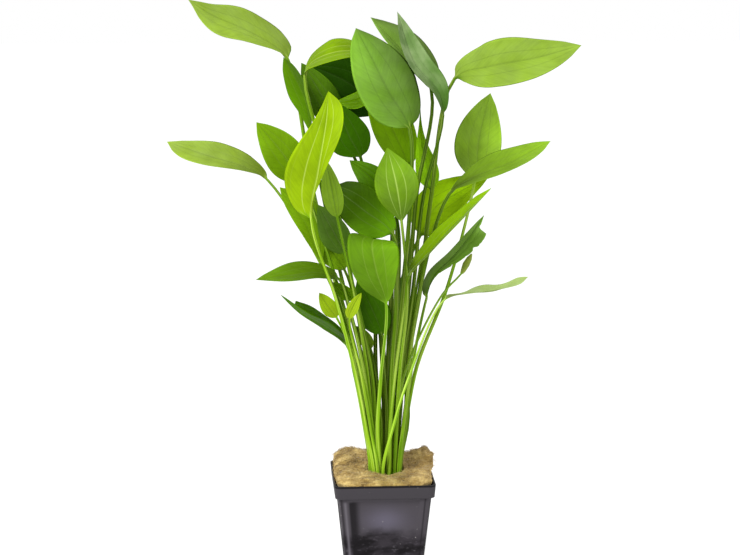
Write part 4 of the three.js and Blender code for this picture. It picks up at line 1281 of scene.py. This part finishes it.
# %% Pot finish
# The greys of the body are painted reflection of the white surroundings on black plastic
POT_DARK = colour(14, 11, 14)
POT_WET = colour(44, 40, 45)
POT_GREY = colour(64, 60, 65)
POT_COLLAR = colour(56, 53, 57)
POT_PAINTED_SHINE = colour(90, 86, 100)
POT_SMUDGE_AND_HIGHLIGHT = colour(96, 92, 98)
POT_SPECK = colour(200, 196, 190)
CLOUD_SCALE = 38.0
SMEAR_SCALES = (170.0, 170.0, 340.0)
BLOT_SCALES = (48.0, 48.0, 110.0)
SPECK_SCALE = 240.0
WET_LINE = 49 * MM
WET_LINE_SWAY = 22 * MM
SHINE_HEIGHT = 62 * MM
SHINE_REACH = 11 * MM
POT_SHARP = math.radians(38)


def along_side(f, place):
    """-1 to 1 along whichever side of the pot a point is on, seen from outside."""
    x, y, z = (f.part(place, axis) for axis in "XYZ")
    front = f.math("GREATER_THAN", f.size(y), f.size(x))
    aside = f.blend(front, y * f.math("SIGN", x), x * -f.math("SIGN", y))
    return aside / (BASE + z * ((RIM - COLLAR_STEP - BASE) / POT_HEIGHT))


def pot_finish():
    f = Finish("dark_plastic", {"IOR": 1.46, "Specular IOR Level": 0.12})
    place = f.place()
    height = f.part(place, "Z")
    aside = along_side(f, place)
    clouds = f.noise(place, CLOUD_SCALE, detail=4.0, roughness=0.6)
    smears = f.streaks(place, SMEAR_SCALES, detail=5.0)
    blots = f.streaks(place, BLOT_SCALES, detail=4.0)

    # Painted reflection: grey with a painted shine in the middle of each side; blotched black below the wet
    # line
    edge = WET_LINE + (clouds - 0.5) * WET_LINE_SWAY
    dry = f.smooth(height - edge, -5 * MM, 6 * MM)
    base = f.tint(f.smooth(clouds, 0.3, 0.8) * 0.4, POT_GREY, POT_COLLAR)
    painted_shine = f.hill(aside, 0.42) * f.hill(height - SHINE_HEIGHT, SHINE_REACH)
    base = f.tint(painted_shine * 0.7, base, POT_PAINTED_SHINE)
    below = f.tint(f.smooth(blots, 0.36, 0.6), POT_DARK, POT_WET)
    base = f.tint(dry, below, base)

    # The sunk panel: a painted shadow on the slope beside the first post, painted shade lines at the posts and
    # a painted highlight line on the first post
    collar_foot = POT_HEIGHT - COLLAR_HEIGHT
    body = 1.0 - f.smooth(height, collar_foot - 5 * MM, collar_foot - 2 * MM)
    slope = f.smooth(aside, -0.81, -0.75) * (1.0 - f.smooth(aside, -0.68, -0.5))
    base = f.tint(slope * body * 0.85, base, POT_DARK)
    base = f.tint((f.hill(aside + 0.94, 0.03) + f.hill(aside - 0.86, 0.02)) * 0.6, base, POT_DARK)
    base = f.tint(f.hill(aside + 0.86, 0.03) * body * 0.7, base, POT_SMUDGE_AND_HIGHLIGHT)
    base = f.tint(f.smooth(height, collar_foot - 1 * MM, collar_foot), base, POT_COLLAR)

    # Smudges and specks, mostly below the wet line, and the dark rim
    base = f.tint((1.0 - dry) * f.smooth(smears, 0.56, 0.8) * 0.5, base, POT_SMUDGE_AND_HIGHLIGHT)
    speck = 1.0 - f.smooth(f.cells(place, SPECK_SCALE), 0.07, 0.13)
    speck = speck * f.smooth(f.noise(place, 70.0), 0.55, 0.62)
    base = f.tint(speck * (1.0 - 0.75 * dry), base, POT_SPECK)
    rim = f.smooth(height + clouds * MM, POT_HEIGHT - 1.6 * MM, POT_HEIGHT - 0.8 * MM)
    base = f.tint(rim * 0.9, base, POT_DARK)
    roughness = 0.3 + 0.2 * clouds + 0.12 * smears
    return f.finish(base, roughness, clouds * 0.6 + smears * 0.25 + speck * 0.3, 0.35 * MM)


pot.data.materials.clear()
pot.data.materials.append(pot_finish())
for face in pot.data.polygons:
    face.use_smooth = True
pot.data.set_sharp_from_angle(angle=POT_SHARP)
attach(pot, "root")
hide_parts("pot")
print("the pot is finished")

# %% [markdown]
# ## Roughening a solid
#
# Rock wool and a rootstock are lumpy at two scales: soft humps some millimetres apart and a finer crumb.
# Both keep the shape of their solids, so one recipe serves: it merges a copy of the solid, cuts its faces
# finer, and moves each point along its normal by two noises. Below a given height nothing moves, so the wool
# doesn't grow through the wall of its pot.

# %% The roughening tree
ROUGH_SIZES = {
    "Level": 3,
    "Humps": 1.6 * MM,
    "Hump Scale": 110.0,
    "Crumb": 0.9 * MM,
    "Crumb Scale": 420.0,
    "From Height": 0.0,
    "Full Height": 1 * MM,
}
LOOSE_GAP = 0.01 * MM


def roughening_recipe():
    r = Recipe("roughening_recipe", ROUGH_SIZES)
    loose = {"Geometry": r.given("Geometry"), "Distance": LOOSE_GAP}
    whole = r.call("GeometryNodeMergeByDistance", loose)
    fine = r.call("GeometryNodeSubdivideMesh", {"Mesh": whole, "Level": r.given("Level")})
    place = r.call("GeometryNodeInputPosition", {})
    normal = r.call("GeometryNodeInputNormal", {})
    humps = (r.noise(place, r.given("Hump Scale")) - 0.5) * r.given("Humps")
    crumb = (r.noise(place, r.given("Crumb Scale"), detail=3.0) - 0.5) * r.given("Crumb")
    free = r.smooth(r.part(place, "Z"), r.given("From Height"), r.given("Full Height"))
    moved = {"Geometry": fine, "Offset": normal * ((humps + crumb) * 2.0 * free)}
    rough = r.call("GeometryNodeSetPosition", moved)
    return r.end(r.call("GeometryNodeSetShadeSmooth", {"Geometry": rough}))


ROUGHENING_TREE = roughening_recipe()
print("the roughening recipe has", len(ROUGHENING_TREE.nodes), "nodes")

# %% [markdown]
# ## Rock wool
#
# Rock wool is spun mineral fibre, pressed into a block. Its top is matted and torn, with hollows where pieces
# came away and tufts that stand up, and a flap at the right hangs over the rim. The block gets its humps from
# the recipe. The few forms that belong to this block alone are pushed in or out one by one afterwards. The
# colour is mottled sand and brown, partly the wool's own patches and partly painted light and shade, with
# painted shade in the hollow at the right, greenish where it is damp, and with streaks of fibre.

# %% Wool block
WOOL_FREE_FROM = 96.5 * MM
WOOL_FREE_FULL = 98.5 * MM
WOOL_SHADED_HOLLOW = (30 * MM, 2 * MM, 99 * MM)
WOOL_LIGHT = colour(202, 176, 110)
WOOL_SAND = colour(152, 124, 62)
WOOL_BROWN = colour(100, 76, 30)
WOOL_GREENISH = colour(112, 104, 28)
WOOL_DAMP = (2 * MM, -24 * MM, 98 * MM)
WOOL_MOTTLE = 75.0
WOOL_FIBRES_ACROSS = (300.0, 900.0, 900.0)
WOOL_FIBRES_INWARDS = (900.0, 260.0, 900.0)
WOOL_PUSHES = [
    {"at": (-46, 0, 98), "reach": (7, 60, 60), "move": (1.8, 0, 0)},
    {"at": (22, 40, 103), "reach": (9, 12, 20), "move": (0, 0, -2.6)},
    {"at": (41, 35, 103), "reach": (4, 7, 20), "move": (0.5, 0, 4)},
    {"at": (46, -36, 98), "reach": (8, 9, 8), "move": (3.2, -0.5, 0)},
]


def wool_finish():
    f = Finish("rock_wool", {"Specular IOR Level": 0.15, "Sheen Weight": 0.2, "Sheen Roughness": 0.6})
    place = f.place()
    humps = f.noise(place, WOOL_MOTTLE, detail=4.0, roughness=0.55)
    across = f.streaks(place, WOOL_FIBRES_ACROSS, detail=4.0)
    inwards = f.streaks(place, WOOL_FIBRES_INWARDS, detail=4.0)
    streaks = f.math("MAXIMUM", across, inwards)
    # Mottled brown, sand and light: partly the wool's own patches, partly painted light and shade
    base = f.tint(f.smooth(humps, 0.3, 0.5), WOOL_BROWN, WOOL_SAND)
    base = f.tint(f.smooth(humps, 0.48, 0.66), base, WOOL_LIGHT)
    base = f.tint(f.smooth(streaks, 0.5, 0.7) * 0.5, base, WOOL_LIGHT)
    # Painted shade in the hollow at the right
    away = f.call("ShaderNodeVectorMath", {0: place, 1: WOOL_SHADED_HOLLOW}, output="Value", operation="DISTANCE")
    base = f.tint((1.0 - f.smooth(away, 6 * MM, 17 * MM)) * 0.55, base, WOOL_BROWN)
    near = f.call("ShaderNodeVectorMath", {0: place, 1: WOOL_DAMP}, output="Value", operation="DISTANCE")
    base = f.tint((1.0 - f.smooth(near, 4 * MM, 28 * MM)) * 0.7, base, WOOL_GREENISH)
    return f.finish(base, 0.95, humps + streaks * 0.8, 1.1 * MM)


def push_about(mesh, pushes):
    """Moves the points around each place, most in its middle, where the wool stands clear of the pot."""
    flat = np.empty(3 * len(mesh.vertices))
    mesh.vertices.foreach_get("co", flat)
    places = flat.reshape(-1, 3) / MM
    free = np.clip((places[:, 2] * MM - WOOL_FREE_FROM) / (WOOL_FREE_FULL - WOOL_FREE_FROM), 0, 1)
    for push in pushes:
        away = (places - push["at"]) / push["reach"]
        share = np.exp(-np.sum(away**2, axis=1)) * free
        places += share[:, None] * np.array(push["move"])
    mesh.vertices.foreach_set("co", np.ravel(places * MM))


wool_values = {"From Height": WOOL_FREE_FROM, "Full Height": WOOL_FREE_FULL}
wool_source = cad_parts["rock_wool"].data.copy()
wool = grow("wool_block", wool_source, ROUGHENING_TREE, wool_values, wool_finish())
push_about(wool.data, WOOL_PUSHES)
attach(wool, "root")
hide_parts("rock_wool")
print("the wool block has", triangles(wool), "triangles")

# %% [markdown]
# ## Loose fibres
#
# What tells rock wool from sponge is its loose ends. They are far too many to place by hand, and hair
# strands don't leave Blender as a mesh. So a recipe scatters points over the top of the block, puts a
# short thin strand with closed ends on each, turned and tilted at random but always the same way, and bends
# them all a little by a noise.

# %% Fibres
FIBRE_SIZES = {
    "Density": 300000.0,
    "Length": 7.5 * MM,
    "Radius": 0.1 * MM,
    "Lowest": 94.5 * MM,
    "Curl": 3.4 * MM,
    "Seed": 7,
}
FIBRE_SPANS = 5
FIBRE_SIDES = 3
FIBRE_TURNS = ((-0.3, -0.45, 0.0), (0.3, 0.2, 2 * math.pi))
FIBRE_STRETCH = (0.5, 1.2)
FIBRE_WAVER = 260.0
FIBRE_BROWN = colour(140, 112, 56)
FIBRE_LIGHT = colour(198, 170, 106)


def fibre_recipe():
    r = Recipe("fibre_recipe", FIBRE_SIZES)
    place = r.call("GeometryNodeInputPosition", {})
    normal = r.call("GeometryNodeInputNormal", {})
    free = r.smooth(r.part(place, "Z"), r.given("Lowest"), r.given("Lowest") + 2 * MM)
    free = free * r.smooth(r.part(normal, "Z"), 0.0, 0.3)
    scatter = {"Mesh": r.given("Geometry"), "Density": r.given("Density") * free, "Seed": r.given("Seed")}
    points = r.call("GeometryNodeDistributePointsOnFaces", scatter, distribute_method="RANDOM")
    upright = Field(r, points.socket.node.outputs["Rotation"])
    length = r.given("Length")
    bow = {
        "Resolution": FIBRE_SPANS,
        "Start": r.vector(length * -0.5, 0.0, -0.2 * MM),
        "Middle": r.vector(0.0, 0.0, length * 0.16),
        "End": r.vector(length * 0.5, 0.0, 0.1 * MM),
    }
    line = r.call("GeometryNodeCurveQuadraticBezier", bow)
    round_section = {"Resolution": FIBRE_SIDES, "Radius": r.given("Radius")}
    section = r.call("GeometryNodeCurvePrimitiveCircle", round_section)
    swept = {"Curve": line, "Profile Curve": section, "Fill Caps": True}
    strand = r.call("GeometryNodeCurveToMesh", swept)
    range_of_turns = {0: FIBRE_TURNS[0], 1: FIBRE_TURNS[1], "Seed": r.given("Seed")}
    angles = r.call("FunctionNodeRandomValue", range_of_turns, output=0, data_type="FLOAT_VECTOR")
    euler = r.call("FunctionNodeEulerToRotation", {"Euler": angles})
    turned = {"Rotation": upright, "Rotate By": euler}
    rotation = r.call("FunctionNodeRotateRotation", turned, rotation_space="LOCAL")
    range_of_lengths = {2: FIBRE_STRETCH[0], 3: FIBRE_STRETCH[1], "Seed": r.given("Seed")}
    stretch = r.call("FunctionNodeRandomValue", range_of_lengths, output=1, data_type="FLOAT")
    stretched = r.vector(stretch, 1.0, 1.0)
    placed = {"Points": points, "Instance": strand, "Rotation": rotation, "Scale": stretched}
    instances = r.call("GeometryNodeInstanceOnPoints", placed)
    strands = r.call("GeometryNodeRealizeInstances", {"Geometry": instances})
    waving = {"Vector": place, "Scale": FIBRE_WAVER, "Detail": 1.0}
    waver = r.call("ShaderNodeTexNoise", waving, output="Color")
    offset = r.call("ShaderNodeVectorMath", {0: waver, 1: (0.5, 0.5, 0.5)}, operation="SUBTRACT")
    bent = r.call("GeometryNodeSetPosition", {"Geometry": strands, "Offset": offset * r.given("Curl")})
    return r.end(bent)


def fibre_finish():
    f = Finish("wool_fibre", {"Specular IOR Level": 0.25, "Sheen Weight": 0.1})
    place = f.place()
    mix = f.noise(place, WOOL_MOTTLE, detail=4.0, roughness=0.55)
    base = f.tint(f.smooth(mix, 0.3, 0.7), FIBRE_BROWN, FIBRE_LIGHT)
    return f.finish(base, 0.75 + 0.2 * mix, mix, 0.05 * MM)


fibres = grow("wool_fibres", wool.data.copy(), fibre_recipe(), {}, fibre_finish())
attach(fibres, "root")
print("the fibres have", triangles(fibres), "triangles")

# %% [markdown]
# ## Rootstock
#
# All stalks spring from one short rootstock, hidden in the hollow of the wool. Only a glimpse of it shows
# from above, pale brown and ringed by old leaf scars. The roughening recipe gives it its lumps.

# %% Rootstock
BARK_BROWN = colour(96, 82, 38)
BARK_PALE = colour(156, 146, 84)
SCAR_SCALES = (120.0, 120.0, 600.0)


def rootstock_finish():
    f = Finish("rootstock_bark", {"Specular IOR Level": 0.25})
    place = f.place()
    scars = f.streaks(place, SCAR_SCALES, detail=3.0)
    base = f.tint(f.smooth(scars, 0.35, 0.65), BARK_BROWN, BARK_PALE)
    return f.finish(base, 0.8, scars, 0.6 * MM)


rootstock_values = {"Humps": 0.1 * MM, "Crumb": 0.1 * MM, "From Height": 0.0}
rootstock_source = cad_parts["rootstock"].data.copy()
rootstock = grow("rough_rootstock", rootstock_source, ROUGHENING_TREE, rootstock_values, rootstock_finish())
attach(rootstock, "root")
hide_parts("rootstock")
print("the rootstock has", triangles(rootstock), "triangles")

# %% [markdown]
# ## Last look at the size
#
# The size of the dressed plant is printed beside that of its solids.

# %% Size and finish
seen_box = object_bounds()
for word, box in (("solids", cad_box), ("dressed", seen_box)):
    print(word, [round(c / MM, 1) for c in box[0]], "to", [round(c / MM, 1) for c in box[1]])
